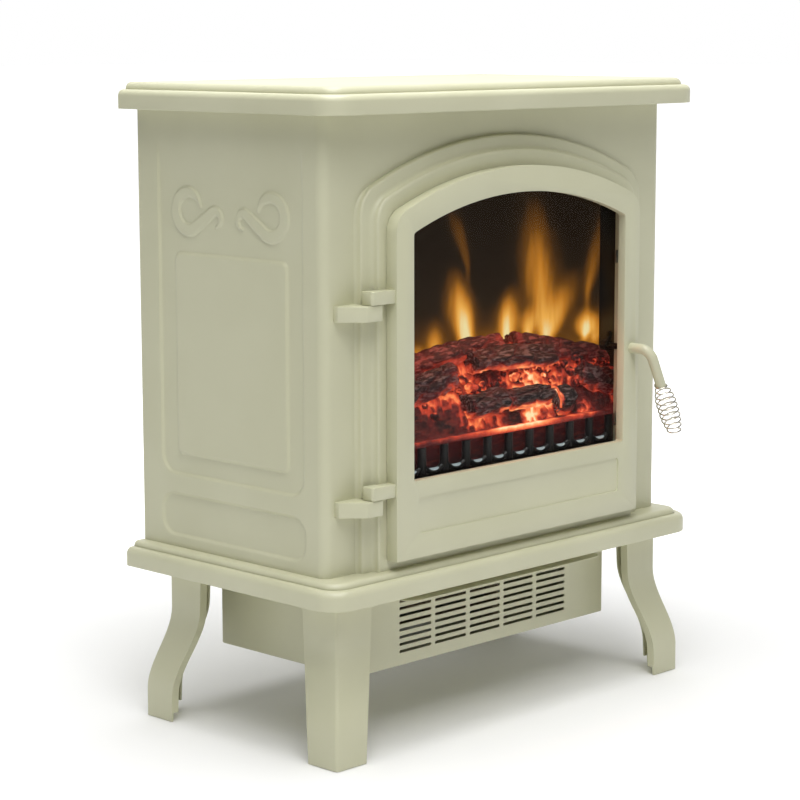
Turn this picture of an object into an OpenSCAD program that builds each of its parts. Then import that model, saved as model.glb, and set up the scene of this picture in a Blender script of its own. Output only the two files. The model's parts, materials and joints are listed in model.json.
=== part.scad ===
// Freestanding electric stove heater: a painted sheet-steel body on four bowed legs, with an arched
// glazed door, a log-effect fire behind it and a fan heater hung under the base plate.
// Millimetres. The front faces -Y, +X is to the right, and the floor is Z = 0.
// The origin is under the centre of the whole stove, from the handle's grip to the lid's back edge.

/* [Overall] */
// Width of the lid and of the base plate
lid_w = 498; // [470:2:620]
// Depth of the lid and of the base plate
lid_d = 278; // [262:2:340]
// Height of the whole stove
total_h = 590; // [560:2:720]
// Height of the base plate's underside over the floor
leg_h = 143; // [130:1:175]

/* [Lid and base plate] */
// Height of the lid, edge to top
lid_h = 24; // [22:0.5:32]
// Height of the base plate
base_h = 22.5; // [20:0.5:30]
// Height of the plain vertical edge of lid and base plate
edge_h = 11.5; // [9:0.5:13]
// Radius of the lower rounded shoulder of lid and base plate
shoulder_r = 6; // [4:0.5:7]
// Inset of the upper rounded step of lid and base plate
step_inset = 9; // [7:0.5:14]
// Plan radius of the two front corners of lid and base plate
corner_r = 25; // [18:1:40]
// Wall of the pressed lid and base plate
slab_wall = 2; // [1.5:0.1:3]
// How far the lid stands out past each side panel
side_overhang = 20.5; // [14:0.5:28]
// How far the lid stands out past the front panel
front_overhang = 32.6; // [28:0.2:40]
// How far the lid stands out past the body's back
back_overhang = 2; // [0:0.5:6]

/* [Body panels] */
// Thickness of the body's steel sheet
sheet = 1.5; // [1:0.1:2.5]
// Radius of the body's upright front corners
body_r = 9; // [6:0.5:14]
// How far the back panel sits inside the body's back edge
back_recess = 6; // [5:0.5:12]
// Depth of the pressed lines in the side panels
press_d = 0.7; // [0.4:0.1:0.9]
// Width of the pressed lines in the side panels
press_w = 3; // [2:0.5:5]

/* [Door] */
// Distance from the body's side to the door's edge
door_margin = 62.5; // [56:0.5:80]
// Gap between the base plate's top and the door's bottom edge
door_foot_gap = 9.5; // [6:0.5:16]
// Distance from the lid's underside to the top of the door's arch
door_head_gap = 51; // [46:0.5:80]
// Radius of the door's arched top
door_arch_r = 385; // [330:5:600]
// Radius of the two knees where the arch meets the door's sides
door_knee_r = 22; // [14:1:30]
// Thickness of the door
door_t = 12.6; // [11:0.2:16]
// Thickness of the door's front wall over the hollow lower part
door_wall = 3; // [2:0.5:4]
// Clearance between the closed door and the surround
door_gap = 0.4; // [0.3:0.1:1]
// Width of the door's two stiles
stile_w = 21.6; // [20:0.2:30]
// Height of the door's arched top rail at the middle
top_rail_h = 23.5; // [20:0.5:34]
// Height of the door's bottom rail, up to the window
bottom_rail_h = 69; // [62:1:84]
// Radius of the window's arched top
window_arch_r = 375; // [320:5:600]
// Thickness of the glass's seal
seal_t = 0.6; // [0.4:0.1:1.5]
// Thickness of the glass
glass_t = 3.6; // [3:0.2:5]
// Lap of the glass behind the window's edge
glass_lap = 5.5; // [4:0.5:6]
// Lap of the door over the surround's opening
door_lap = 3; // [2:0.5:4]

/* [Surround] */
// Height of each of the surround's two steps
step_h = 6.5; // [4:0.5:8]
// Width that the surround's first step stands out past the door
surround_w = 24; // [20:0.5:30]
// Height that the surround's first step stands out past the door's arch
surround_top = 27.5; // [22:0.5:32]
// Width that the surround's second step stands out past the door
inner_w = 10; // [7:0.5:14]
// Height that the surround's second step stands out past the door's arch
inner_top = 14.5; // [10:0.5:18]
// Wall of the hollow surround
surround_wall = 2; // [1.5:0.1:3]

/* [Hinges] */
// Diameter of the hinge pins
pin_d = 5; // [4:0.5:6]
// Radial clearance of a turning shaft or pin in its bore
run_clear = 0.05; // [0.02:0.01:0.1]
// Height of each hinge block
hinge_h = 13.6; // [10:0.2:18]
// Distance of the hinge pins outside the door's edge
pin_out = 22; // [21:0.5:23]
// Distance of the hinge pins in front of the front panel
pin_ahead = 16.6; // [15.6:0.2:17.6]
// Height of the lower hinge's joint over the door's bottom edge
low_hinge = 57.6; // [40:1:80]
// Depth of the upper hinge's joint under the top of the door's arch
high_hinge = 112; // [90:1:140]

/* [Handle] */
// Diameter of the handle rod
rod_d = 10; // [8:0.5:10]
// Distance of the rod's hanging arm in front of the door
rod_out = 22.6; // [20:0.2:40]
// Height of the handle's shaft over the door's bottom edge
handle_up = 158.7; // [130:1:190]
// Distance of the handle's shaft inside the door's edge
handle_in = 10.2; // [9.8:0.2:10.6]
// Lean of the handle's arm from the vertical
handle_lean = 26; // [10:1:40]
// Length of the rod's straight arm, from the shaft's axis
arm_len = 42; // [32:1:60]
// Length of the coil grip past the arm
grip_len = 51; // [40:1:70]
// Largest radius of the coil grip
grip_r = 10.5; // [9:0.5:12]
// Thickness of the coil grip's wire
wire_d = 1.4; // [1:0.1:2]

/* [Legs] */
// Inset of each foot's outer corner from the lid's side edge
foot_inset = 10.9; // [6:0.1:20]
// How far the legs bow outward from top to foot
leg_bow = 17; // [10:0.5:24]
// Height over the floor where the bow starts
bow_low = 25; // [15:1:40]
// Height over the floor where the bow ends
bow_high = 105; // [85:1:120]
// Width of each leg face at the top
leg_top_w = 44; // [38:1:50]
// Width of each leg face at the foot
leg_foot_w = 36; // [30:1:42]
// Thickness of the leg's sheet
leg_sheet = 2; // [1.5:0.1:3]
// Depth of the return flange along each leg face
leg_flange = 8; // [5:0.5:12]
// Height of the return flange's lower end over the floor
flange_lift = 8; // [4:1:14]

/* [Heater] */
// Inset of the heater box from the lid's side edge
heater_inset = 76; // [60:1:90]
// Distance of the heater box's front behind the lid's front edge
heater_back = 53.7; // [48:0.5:70]
// Depth of the heater box, front to back
heater_d = 178.7; // [168:0.5:190]
// Height of the heater box
heater_h = 80; // [76:1:88]
// Number of outlet slots across
slot_cols = 5; // [3:1:5]
// Number of outlet slots one above another
slot_rows = 8; // [4:1:8]
// Length of an outlet slot
slot_len = 42.4; // [30:0.2:44]
// Height of an outlet slot
slot_h = 2.9; // [2:0.1:4]
// Pitch of the outlet slots across
slot_pitch_x = 47.1; // [45:0.1:50]
// Pitch of the outlet slots upward
slot_pitch_z = 6.7; // [6:0.1:7.5]
// Width of the heat deflector
deflector_w = 268; // [200:2:300]
// How far the heat deflector stands out of the heater box
deflector_out = 33.7; // [20:0.5:40]
// Gap between the base plate's underside and the heat deflector
deflector_drop = 11; // [9:0.5:14]
// Diameter of the blower's impeller
impeller_d = 44; // [36:1:46]
// Length of the blower's impeller
impeller_len = 190; // [150:2:200]
// Diameter of the blower's shaft
fan_shaft_d = 5; // [4:0.5:6]

/* [Fire] */
// Inset of the firebox's side walls from the body's side
fire_inset = 23.5; // [18:0.5:40]
// Distance from the front panel's plane to the flame screen
screen_back = 54; // [48:1:70]
// Thickness of the flame screen
screen_t = 3; // [2:0.5:5]
// Pitch of the grate's bars
bar_pitch = 29.2; // [24:0.1:36]
// Diameter of the grate's bars
bar_d = 8; // [6:0.5:10]
// Number of the grate's bars, an even number
bar_count = 12; // [8:2:12]
// Height of the ember bed's front edge over the firebox floor
bed_front_h = 32; // [24:1:40]
// Height of the ember bed's heap over the firebox floor
bed_back_h = 97; // [80:1:104]
// Diameter of the flame spindle's shaft
spindle_d = 5; // [4:0.5:6]
// Number of reflector flags along the flame spindle
flag_count = 14; // [8:1:16]

/* [Controls] */
// Width of a rocker switch's button
rocker_w = 13; // [10:0.5:16]
// Height of a rocker switch's button
rocker_h = 19; // [16:0.5:22]
// Tilt of a rocker to each side of level
rocker_tilt = 6; // [4:1:9]
// Pitch of the three rocker switches
rocker_pitch = 34; // [28:1:38]
// Diameter of the thermostat knob
thermostat_d = 30; // [24:1:32]
// Diameter of the flame brightness knob
dimmer_d = 20; // [16:1:24]
// Diameter of both knobs' shafts
knob_shaft_d = 6; // [5:0.5:7]

/* [Hidden] */
$fn = 48;

cream = "#c9c8ae";
eps = 0.01;        // how far a cut runs past a face
cut = 2;           // how far a through cut runs past both faces

// Heights
base_z0 = leg_h;
base_z1 = leg_h + base_h;
lid_z0 = total_h - lid_h;
door_z0 = base_z1 + door_foot_gap;
door_z1 = lid_z0 - door_head_gap;

// Widths from the centre plane
lid_hw = lid_w / 2;
body_hw = lid_hw - side_overhang;
door_hw = body_hw - door_margin;
window_hw = door_hw - stile_w;
opening_hw = door_hw - door_lap;
fire_hw = body_hw - fire_inset;
heater_hw = lid_hw - heater_inset;

// Places in depth
door_stand = 2 * step_h + door_gap + door_t;
handle_reach = rod_out + grip_r - (front_overhang - door_stand);
lid_y0 = -(lid_d + handle_reach) / 2 + handle_reach;
lid_y1 = lid_y0 + lid_d;
panel_y = lid_y0 + front_overhang;
body_y1 = lid_y1 - back_overhang;
step1_y = panel_y - step_h;
step2_y = step1_y - step_h;
door_y1 = step2_y - door_gap;
door_y0 = door_y1 - door_t;
glass_y1 = door_y1;
glass_y0 = glass_y1 - glass_t;
reveal_d = glass_y0 - seal_t - door_y0;     // in front of the glass's seal
screen_y = panel_y + screen_back;
heater_y0 = lid_y0 + heater_back;
heater_y1 = heater_y0 + heater_d;
heater_z0 = base_z0 - heater_h;
back_y = body_y1 - back_recess;

// Door window
window_z0 = door_z0 + bottom_rail_h;
window_z1 = door_z1 - top_rail_h;

// ---------- outlines ----------

// Points of an arc; the first and last are left out when open is true
function arc(cx, cy, r, a0, a1, n = 6, open = false) =
    [for (i = [open ? 1 : 0 : open ? n - 1 : n])
        [cx + r * cos(a0 + (a1 - a0) * i / n), cy + r * sin(a0 + (a1 - a0) * i / n)]];

// Outline with upright sides and an arched top. k rounds the knees and b the bottom corners.
function arched(hw, z0, top, r, k, b) =
    let (zc = top - r, zk = zc + sqrt(pow(r - k, 2) - pow(hw - k, 2)), phi = atan2(zk - zc, hw - k))
    concat(
        b > 0 ? arc(b - hw, z0 + b, b, 180, 270) : [[-hw, z0]],
        b > 0 ? arc(hw - b, z0 + b, b, 270, 360) : [[hw, z0]],
        arc(hw - k, zk, k, 0, phi, 8),
        arc(0, zc, r, phi, 180 - phi, 28, true),
        arc(k - hw, zk, k, 180 - phi, 180, 8));

// Rectangle with round corners
function round_rect(x0, z0, x1, z1, r) = concat(
    arc(x0 + r, z0 + r, r, 180, 270), arc(x1 - r, z0 + r, r, 270, 360),
    arc(x1 - r, z1 - r, r, 0, 90), arc(x0 + r, z1 - r, r, 90, 180));

// Slot with bevelled ends, centred on x and z
function slot_outline(x, z, len, h) = let (a = len / 2, b = h / 2, c = 0.35 * h) [
    [x - a, z - b + c], [x - a + c, z - b], [x + a - c, z - b], [x + a, z - b + c],
    [x + a, z + b - c], [x + a - c, z + b], [x - a + c, z + b], [x - a, z + b - c]];

// Plan outline of the lid or base plate, drawn in by inset at the front and the sides
function plan(inset) =
    let (r = corner_r - inset, x = lid_hw - corner_r, y = lid_y0 + corner_r)
    concat(arc(-x, y, r, 180, 270, 8), arc(x, y, r, 270, 360, 8),
        [[lid_hw - inset, lid_y1], [inset - lid_hw, lid_y1]]);

// [height, inset] of the plain edge with its round shoulder, and of the upper step up to height h
function edge_profile() = concat([[0, 0]],
    [for (p = arc(0, 0, shoulder_r, 0, 90, 6)) [edge_h + p[1], shoulder_r - p[0]]]);
function step_profile(h) = let (z = edge_h + shoulder_r, r = h - z) concat([[edge_h, step_inset]],
    [for (p = arc(0, 0, r, 0, 90, 6)) [z + p[1], step_inset + r - p[0]]]);

function door_outline(out, up, r_more, k_more) =
    arched(door_hw + out, door_z0 - out, door_z1 + up, door_arch_r + r_more, door_knee_r + k_more, 0);
function window_outline(out) =
    arched(window_hw + out, window_z0 - out, window_z1 + out, window_arch_r + out, 4 + out, 2);
function opening_outline(out) =
    arched(opening_hw + out, door_z0 + door_lap - out, door_z1 - door_lap + out,
        door_arch_r - door_lap + out, door_knee_r - door_lap + out, 0);

// ---------- shared shapes ----------

// Solid skinned over rings of points, each ring turning anticlockwise as seen from the next one
module skin(rings) {
    n = len(rings[0]);
    m = len(rings);
    polyhedron(
        points = [for (g = rings) each g],
        faces = concat(
            [[for (i = [0:n - 1]) i]],
            [for (j = [0:m - 2]) for (i = [0:n - 1])
                [(j + 1) * n + i, (j + 1) * n + (i + 1) % n, j * n + (i + 1) % n, j * n + i]],
            [[for (i = [n - 1:-1:0]) (m - 1) * n + i]]));
}

// Solid between stacked outlines, each [height, points]
module loft(levels) {
    skin([for (g = levels) [for (p = g[1]) [p[0], p[1], g[0]]]]);
}

// Plate of an XZ outline, from y0 back to y1
module upright(y0, y1, points) {
    translate([0, y1, 0]) rotate([90, 0, 0]) linear_extrude(y1 - y0) polygon(points);
}

// Bar of a YZ outline, from x0 to x1
module crosswise(x0, x1, points) {
    translate([x0, 0, 0]) rotate([90, 0, 90]) linear_extrude(x1 - x0) polygon(points);
}

module block(x0, y0, z0, x1, y1, z1) {
    translate([x0, y0, z0]) cube([x1 - x0, y1 - y0, z1 - z0]);
}

// Cylinder along X, Y or Z from a start point
module rod_x(p, d, len) { translate(p) rotate([0, 90, 0]) cylinder(d = d, h = len); }
module rod_y(p, d, len) { translate(p) rotate([-90, 0, 0]) cylinder(d = d, h = len); }
module rod_z(p, d, len) { translate(p) cylinder(d = d, h = len); }

pocket_in = 2.5;       // how much further in the step's pocket lies than its wall

// Plan outline of a slab's pocket
function slab_pocket(inset) =
    let (r = corner_r - inset, x = lid_hw - corner_r, y = lid_y0 + corner_r)
    concat(arc(-x, y, r, 180, 270, 8), arc(x, y, r, 270, 360, 8),
        [[lid_hw - inset, lid_y1 - slab_wall], [inset - lid_hw, lid_y1 - slab_wall]]);

// Hollow moulded slab of the lid and the base plate, h high, from z0, closed underneath
module moulded_slab(z0, h) {
    difference() {
        union() {
            loft([for (p = edge_profile()) [z0 + p[0], plan(p[1])]]);
            loft([for (p = step_profile(h)) [z0 + p[0], plan(p[1])]]);
        }
        translate([0, 0, z0 + slab_wall]) linear_extrude(edge_h - slab_wall)
            polygon(slab_pocket(slab_wall));
        translate([0, 0, z0 + slab_wall + 1]) linear_extrude(h - 2 * slab_wall - 1)
            polygon(slab_pocket(slab_wall + step_inset + pocket_in));
    }
}

// ---------- casing ----------

lid_rim = 24;       // width of the rim under the lid, inside the body

module lid() color(cream) difference() {
    moulded_slab(lid_z0, lid_h);
    block(lid_rim - body_hw, panel_y + lid_rim, lid_z0 - cut,
        body_hw - lid_rim, back_y - lid_rim, lid_z0 + slab_wall + eps);
}

leg_screw_d = 5;
leg_screw_in = 22;   // from a leg's outer corner at the top to its screw

// Outer corner of a leg at its top
leg_x = lid_hw - foot_inset - leg_bow;
leg_front_y = lid_y0 + foot_inset - 1.4 + leg_bow;
leg_rear_y = lid_y1 - foot_inset - 0.5 - leg_bow;
leg_screw_places = [for (s = [-1, 1]) each [
    [s * (leg_x - leg_screw_in), leg_front_y + leg_screw_in],
    [s * (leg_x - leg_screw_in), leg_rear_y - leg_screw_in]]];

module base_plate() color(cream) difference() {
    moulded_slab(base_z0, base_h);
    for (p = leg_screw_places) rod_z([p[0], p[1], base_z0 - cut], leg_screw_d + 0.5, slab_wall + cut + 1);
    // air and wires pass between the heater box and the body
    block(-heater_hw + 20, heater_y0 + 20, base_z0 - cut, heater_hw - 20, heater_y1 - 20,
        base_z0 + slab_wall + eps);
    rod_z([0, back_y - 40, base_z1 - slab_wall - cut], 26, slab_wall + 2 * cut);
}

// Pressed outline in a side panel, as a YZ ring
module pressed_ring(outer, inner) {
    difference() {
        linear_extrude(press_d + eps) polygon(outer);
        translate([0, 0, -cut]) linear_extrude(press_d + 2 * cut) polygon(inner);
    }
}

side_y0 = panel_y + body_r;             // where the flat side meets the corner
field_front = 46.5;                      // from the front panel to the pressed field's front and back
field_back = 194;
field_low = 88.5;                        // over the base plate
field_high = 128.5;                      // under the lid
field_r = 6;
plinth_front = 25;                      // from the front panel to the pressed plinth's front and back
plinth_back = 217;
plinth_low = 11;                        // over the base plate
plinth_high = 50;
plinth_r = 14;

// One pressed rectangle, with its line inside the given outline
module pressed_rect(y0, z0, y1, z1, r) {
    pressed_ring(round_rect(y0, z0, y1, z1, r),
        round_rect(y0 + press_w, z0 + press_w, y1 - press_w, z1 - press_w, r - press_w));
}

module side_presswork() {
    pressed_rect(panel_y + field_front, base_z1 + field_low, panel_y + field_back, lid_z0 - field_high,
        field_r);
    pressed_rect(panel_y + plinth_front, base_z1 + plinth_low, panel_y + plinth_back,
        base_z1 + plinth_high, plinth_r);
}

// Flat side with a return flange at the back, drawn for the left
module side_panel() {
    flange = 14;
    difference() {
        union() {
            block(-body_hw, side_y0, base_z1, sheet - body_hw, body_y1, lid_z0);
            block(-body_hw, back_y + sheet, base_z1, flange - body_hw, back_y + 2 * sheet, lid_z0);
        }
        for (p = back_screw_places) rod_y([p[0], back_y, p[1]], back_screw_d + 0.4, 4 * sheet);
        translate([press_d - body_hw, 0, 0]) rotate([90, 0, 90]) mirror([0, 0, 1]) side_presswork();
    }
}

module left_side_panel() color(cream) side_panel();
module right_side_panel() color(cream) mirror([1, 0, 0]) side_panel();

// Plan outline of the front sheet: flat front with its two round corners, outer then inner line
function front_plan() = let (x = body_hw - body_r, y = side_y0) concat(
    [[-body_hw, y]], arc(-x, y, body_r, 180, 270, 8, true), [[-x, panel_y], [x, panel_y]],
    arc(x, y, body_r, 270, 360, 8, true), [[body_hw, y], [body_hw - sheet, y]],
    arc(x, y, body_r - sheet, 360, 270, 8, true), [[x, panel_y + sheet], [-x, panel_y + sheet]],
    arc(-x, y, body_r - sheet, 270, 180, 8, true), [[sheet - body_hw, y]]);

module front_panel() color(cream) difference() {
    translate([0, 0, base_z1]) linear_extrude(lid_z0 - base_z1) polygon(front_plan());
    upright(panel_y - cut, panel_y + sheet + cut, opening_outline(0));
}

// Raised moulding of two steps round the door, hollow behind
module arch_surround() color(cream) difference() {
    union() {
        upright(step1_y, panel_y, step_outline(surround_w, surround_top));
        upright(step2_y, step1_y + eps, step_outline(inner_w, inner_top));
    }
    upright(step2_y - cut, panel_y + cut, opening_outline(0));
    difference() {
        union() {
            upright(step1_y + surround_wall, panel_y + cut,
                step_outline(surround_w - surround_wall, surround_top - surround_wall));
            upright(step2_y + surround_wall, step1_y + surround_wall + eps,
                step_outline(inner_w - surround_wall, inner_top - surround_wall));
        }
        upright(step2_y - cut, panel_y + 2 * cut, opening_outline(surround_wall));
    }
}

// Outline of a surround step; its foot stands on the base plate
function step_outline(out, up) =
    arched(door_hw + out, base_z1, door_z1 + up, door_arch_r + out, door_knee_r + out / 3, 0);

vent_rows = 7;
vent_len = 90;
vent_h = 4;
vent_pitch = 10;
vent_drop = 98;         // from the lid's underside to the lowest vent
vent_x = 70;            // from the centre plane to each column of vents
back_screw_d = 3.9;
back_screw_places = [for (s = [-1, 1]) for (z = [base_z1 + 20, (base_z1 + lid_z0) / 2, lid_z0 - 20])
    [s * (body_hw - 8), z]];
gland_x = body_hw - 45;
gland_z = base_z1 + 30;
gland_d = 16;

module back_panel() color(cream) difference() {
    block(sheet - body_hw, back_y, base_z1, body_hw - sheet, back_y + sheet, lid_z0);
    for (s = [-1, 1]) for (i = [0:vent_rows - 1])
        upright(back_y - cut, back_y + sheet + cut,
            slot_outline(s * vent_x, lid_z0 - vent_drop + i * vent_pitch, vent_len, vent_h));
    for (p = back_screw_places) rod_y([p[0], back_y - cut, p[1]], back_screw_d + 0.4, sheet + 2 * cut);
    rod_y([gland_x, back_y - cut, gland_z], gland_d, sheet + 2 * cut);
}

// The screws go through the side panels' flanges into the back panel's edge
module back_panel_screws() color("silver") for (p = back_screw_places) {
    rod_y([p[0], back_y - 4, p[1]], back_screw_d, 4 + 2 * sheet + eps);
    rod_y([p[0], back_y + 2 * sheet, p[1]], 7.5, 2);
}

module cable_gland() color("#2b2b2b") difference() {
    union() {
        rod_y([gland_x, back_y - 6, gland_z], gland_d, 6 + sheet);
        rod_y([gland_x, back_y + sheet, gland_z], gland_d + 6, 3.5);
        rod_y([gland_x, back_y - 9, gland_z], gland_d + 4, 3);
    }
    rod_y([gland_x, back_y - 12, gland_z], 8, 24);
}

// ---------- legs ----------

leg_steps = 16;

// How far the leg's corner has moved inward at height z
function bow(z) = let (t = min(1, max(0, (z - bow_low) / (bow_high - bow_low))))
    leg_bow * t * t * (3 - 2 * t);
function leg_face_w(z) = leg_foot_w + (leg_top_w - leg_foot_w) * z / leg_h;
function leg_levels(z0) = concat([z0], [for (i = [0:leg_steps])
    max(z0 + 0.5, bow_low) + (bow_high - bow_low) * i / leg_steps], [leg_h]);

// Strip along the bowed leg, between two offsets from the corner line
function leg_strip(z0, a, b) = let (zs = leg_levels(z0)) concat(
    [for (z = zs) [bow(z) + a * leg_face_w(z), z]],
    [for (i = [len(zs) - 1:-1:0]) [bow(zs[i]) + b[0] * leg_face_w(zs[i]) + b[1], zs[i]]]);

// Solid between an XZ strip and a YZ strip
module leg_bar(strip_x, strip_y) {
    intersection() {
        translate([0, 150, 0]) rotate([90, 0, 0]) linear_extrude(300) polygon(strip_x);
        translate([-150, 0, 0]) rotate([90, 0, 90]) linear_extrude(300) polygon(strip_y);
    }
}

// Leg with its foot's outer corner at the origin, reaching towards +X and +Y
module leg() {
    face = leg_strip(0, 0, [1, 0]);
    skin = leg_strip(0, 0, [0, leg_sheet]);
    difference() {
        union() {
            leg_bar(face, skin);
            leg_bar(skin, face);
            leg_bar(leg_lip(), leg_strip(flange_lift, 0, [0, leg_flange]));
            leg_bar(leg_strip(flange_lift, 0, [0, leg_flange]), leg_lip());
            block(leg_bow, leg_bow, leg_h - leg_sheet, leg_bow + leg_top_w - 4, leg_bow + leg_top_w - 4,
                leg_h);
        }
        rod_z([leg_bow + leg_screw_in, leg_bow + leg_screw_in, leg_h - leg_sheet - cut],
            leg_screw_d + 0.5, leg_sheet + 2 * cut);
    }
}

// Strip one sheet thick along a leg face's inner edge
function leg_lip() = let (zs = leg_levels(flange_lift)) concat(
    [for (z = zs) [bow(z) + leg_face_w(z) - leg_sheet, z]],
    [for (i = [len(zs) - 1:-1:0]) [bow(zs[i]) + leg_face_w(zs[i]), zs[i]]]);

// sx and sy point from the foot's corner into the stove
module placed_leg(sx, sy) {
    y = sy > 0 ? leg_front_y - leg_bow : leg_rear_y + leg_bow;
    translate([-sx * (leg_x + leg_bow), y, 0])
        mirror([sx < 0 ? 1 : 0, 0, 0]) mirror([0, sy < 0 ? 1 : 0, 0]) leg();
}

module front_left_leg() color(cream) placed_leg(1, 1);
module front_right_leg() color(cream) placed_leg(-1, 1);
module rear_left_leg() color(cream) placed_leg(1, -1);
module rear_right_leg() color(cream) placed_leg(-1, -1);

module leg_screws() color("silver") for (p = leg_screw_places) {
    rod_z([p[0], p[1], leg_h - leg_sheet - 3], 9.5, 3);
    rod_z([p[0], p[1], leg_h - leg_sheet - eps], leg_screw_d, leg_sheet + slab_wall + 5);
}

// ---------- heater ----------

box_sheet = 1.2;
slot_z0 = heater_z0 + 11.7;

module slot_grid(y, cols, rows, z0) {
    for (c = [0:cols - 1]) for (r = [0:rows - 1]) {
        x = (c - (cols - 1) / 2) * slot_pitch_x;
        upright(y - cut, y + box_sheet + cut, slot_outline(x, z0 + r * slot_pitch_z, slot_len, slot_h));
    }
}

module heater_box() color(cream) difference() {
    block(-heater_hw, heater_y0, heater_z0, heater_hw, heater_y1, base_z0);
    block(box_sheet - heater_hw, heater_y0 + box_sheet, heater_z0 + box_sheet,
        heater_hw - box_sheet, heater_y1 - box_sheet, base_z0 + cut);
    slot_grid(heater_y0, slot_cols, slot_rows, slot_z0);
    slot_grid(heater_y1 - box_sheet, slot_cols, slot_rows, slot_z0);
}

deflector_z = base_z0 - deflector_drop;

module heat_deflector() color(cream) {
    r = 14;
    x = deflector_w / 2;
    y = heater_y0 - deflector_out;
    translate([0, 0, deflector_z - box_sheet]) linear_extrude(box_sheet)
        polygon(concat(arc(r - x, y + r, r, 180, 270), arc(x - r, y + r, r, 270, 360),
            [[x, heater_y0], [-x, heater_y0]]));
    block(-x, heater_y0 - box_sheet, deflector_z - eps, x, heater_y0, base_z0);
}

fan_back = 92;                          // from the box's front to the fan's axis
fan_left = 30;                          // from the box's middle to the impeller's middle
fan_y = heater_y0 + fan_back;
fan_z = (heater_z0 + base_z0) / 2;
fan_x0 = -impeller_len / 2 - fan_left;  // left end of the impeller
fan_x1 = fan_x0 + impeller_len;
fan_wall = 1.2;
fan_gap = 3;                            // between the impeller and its housing
fan_end = 4;                            // from the impeller's ends to the housing's outer faces
outlet_drop = 14;                       // outlet lip under the fan's axis
outlet_reach = 12;                      // lip's reach ahead of the housing
foot_w = 24;

module fan_housing() color("#9a9c9e") {
    r = impeller_d / 2 + fan_gap;
    x0 = fan_x0 - fan_end;
    x1 = fan_x1 + fan_end;
    difference() {
        union() {
            for (x = [x0, x1 - fan_wall]) rod_x([x, fan_y, fan_z], 2 * (r + fan_wall), fan_wall);
            difference() {
                rod_x([x0, fan_y, fan_z], 2 * (r + fan_wall), x1 - x0);
                rod_x([x0 - cut, fan_y, fan_z], 2 * r, x1 - x0 + 2 * cut);
                block(x0 - cut, fan_y - 2 * r, fan_z - outlet_drop, x1 + cut, fan_y, fan_z + 2 * r);
                block(x0 - cut, fan_y, fan_z, x1 + cut, fan_y + 2 * r, fan_z + 2 * r);
            }
            // outlet lip and the feet that stand on the box's floor
            block(x0, fan_y - r - outlet_reach, fan_z - outlet_drop - fan_wall,
                x1, fan_y - r + outlet_reach / 2, fan_z - outlet_drop);
            for (x = [x0, x1 - fan_wall]) block(x, fan_y - foot_w / 2, heater_z0 + box_sheet,
                x + fan_wall, fan_y + foot_w / 2, fan_z - r + fan_gap);
        }
        rod_x([x0 - cut, fan_y, fan_z], fan_shaft_d + 2 * run_clear, x1 - x0 + 2 * cut);
    }
}

blade_count = 18;
blade_w = 7;
blade_t = 0.8;
blade_pitch = 20;                       // degrees off the radius
ring_t = 1;
ring_w = 7;
motor_gap = 14;                         // from the impeller to the motor's stack
motor_w = 48;
stack_l = 16;
stack_up = 20;
stack_down = 28;
stack_foot = 17;
bearing_d = 30;
bearing_l = 28;
winding_w = 30;
winding_h = 10;

module fan_impeller() color("#55585a") {
    translate([fan_x0, fan_y, fan_z]) rotate([0, 90, 0]) {
        for (i = [0:3]) translate([0, 0, i * (impeller_len - ring_t) / 3]) difference() {
            cylinder(d = impeller_d, h = ring_t);
            translate([0, 0, -cut]) cylinder(d = i == 0 || i == 3 ? fan_shaft_d - 1 :
                impeller_d - 2 * ring_w, h = ring_t + 2 * cut);
        }
        for (i = [0:blade_count - 1]) rotate(i * 360 / blade_count)
            translate([impeller_d / 2 - blade_w - 1, -blade_t / 2, 0]) rotate(blade_pitch)
                cube([blade_w, blade_t, impeller_len]);
    }
    rod_x([fan_x0 - 2 * fan_end, fan_y, fan_z], fan_shaft_d, impeller_len + 2 * fan_end + motor_gap + 8);
}

motor_x = fan_x1 + motor_gap;

module fan_motor() color("#6d7276") difference() {
    union() {
        block(motor_x, fan_y - motor_w / 2, fan_z - stack_down,
            motor_x + stack_l, fan_y + motor_w / 2, fan_z + stack_up);
        rod_x([motor_x - 5, fan_y, fan_z], bearing_d, bearing_l);
        block(motor_x - 6, fan_y - winding_w / 2, fan_z - stack_foot - winding_h,
            motor_x + stack_l + 6, fan_y + winding_w / 2, fan_z - stack_foot);
        block(motor_x, fan_y - motor_w / 2, heater_z0 + box_sheet, motor_x + 2, fan_y + motor_w / 2,
            fan_z - stack_down + 1);
    }
    rod_x([motor_x - 6 - cut, fan_y, fan_z], fan_shaft_d + 2 * run_clear, stack_l + 2);
}

coil_count = 6;
coil_d = 3.4;
coil_pitch = 5;
coil_stagger = 3.5;
card_t = 1.5;
element_hw = 8;                         // half the frame's depth
element_hh = 18;                        // half its height
element_in = 5;                         // from the impeller's ends to the frame's
foot_l = 8;
element_y = fan_y - impeller_d / 2 - 24;

module heating_element() color("#b3a58a") {
    x0 = fan_x0 + element_in;
    x1 = fan_x1 - element_in;
    y0 = element_y - element_hw;
    y1 = element_y + element_hw;
    for (x = [x0, (x0 + x1) / 2, x1 - card_t])
        block(x, y0, fan_z - element_hh, x + card_t, y1, fan_z + element_hh);
    for (z = [fan_z - element_hh, fan_z + element_hh - card_t]) block(x0, y0, z, x1, y1, z + card_t);
    for (i = [0:coil_count - 1]) rod_x([x0 + eps, element_y + (i % 2 == 0 ? -1 : 1) * coil_stagger,
        fan_z + (i - (coil_count - 1) / 2) * coil_pitch], coil_d, x1 - x0 - 2 * eps);
    for (s = [x0, x1 - foot_l])
        block(s, y0, heater_z0 + box_sheet, s + foot_l, y1, fan_z - element_hh + eps);
}

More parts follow.
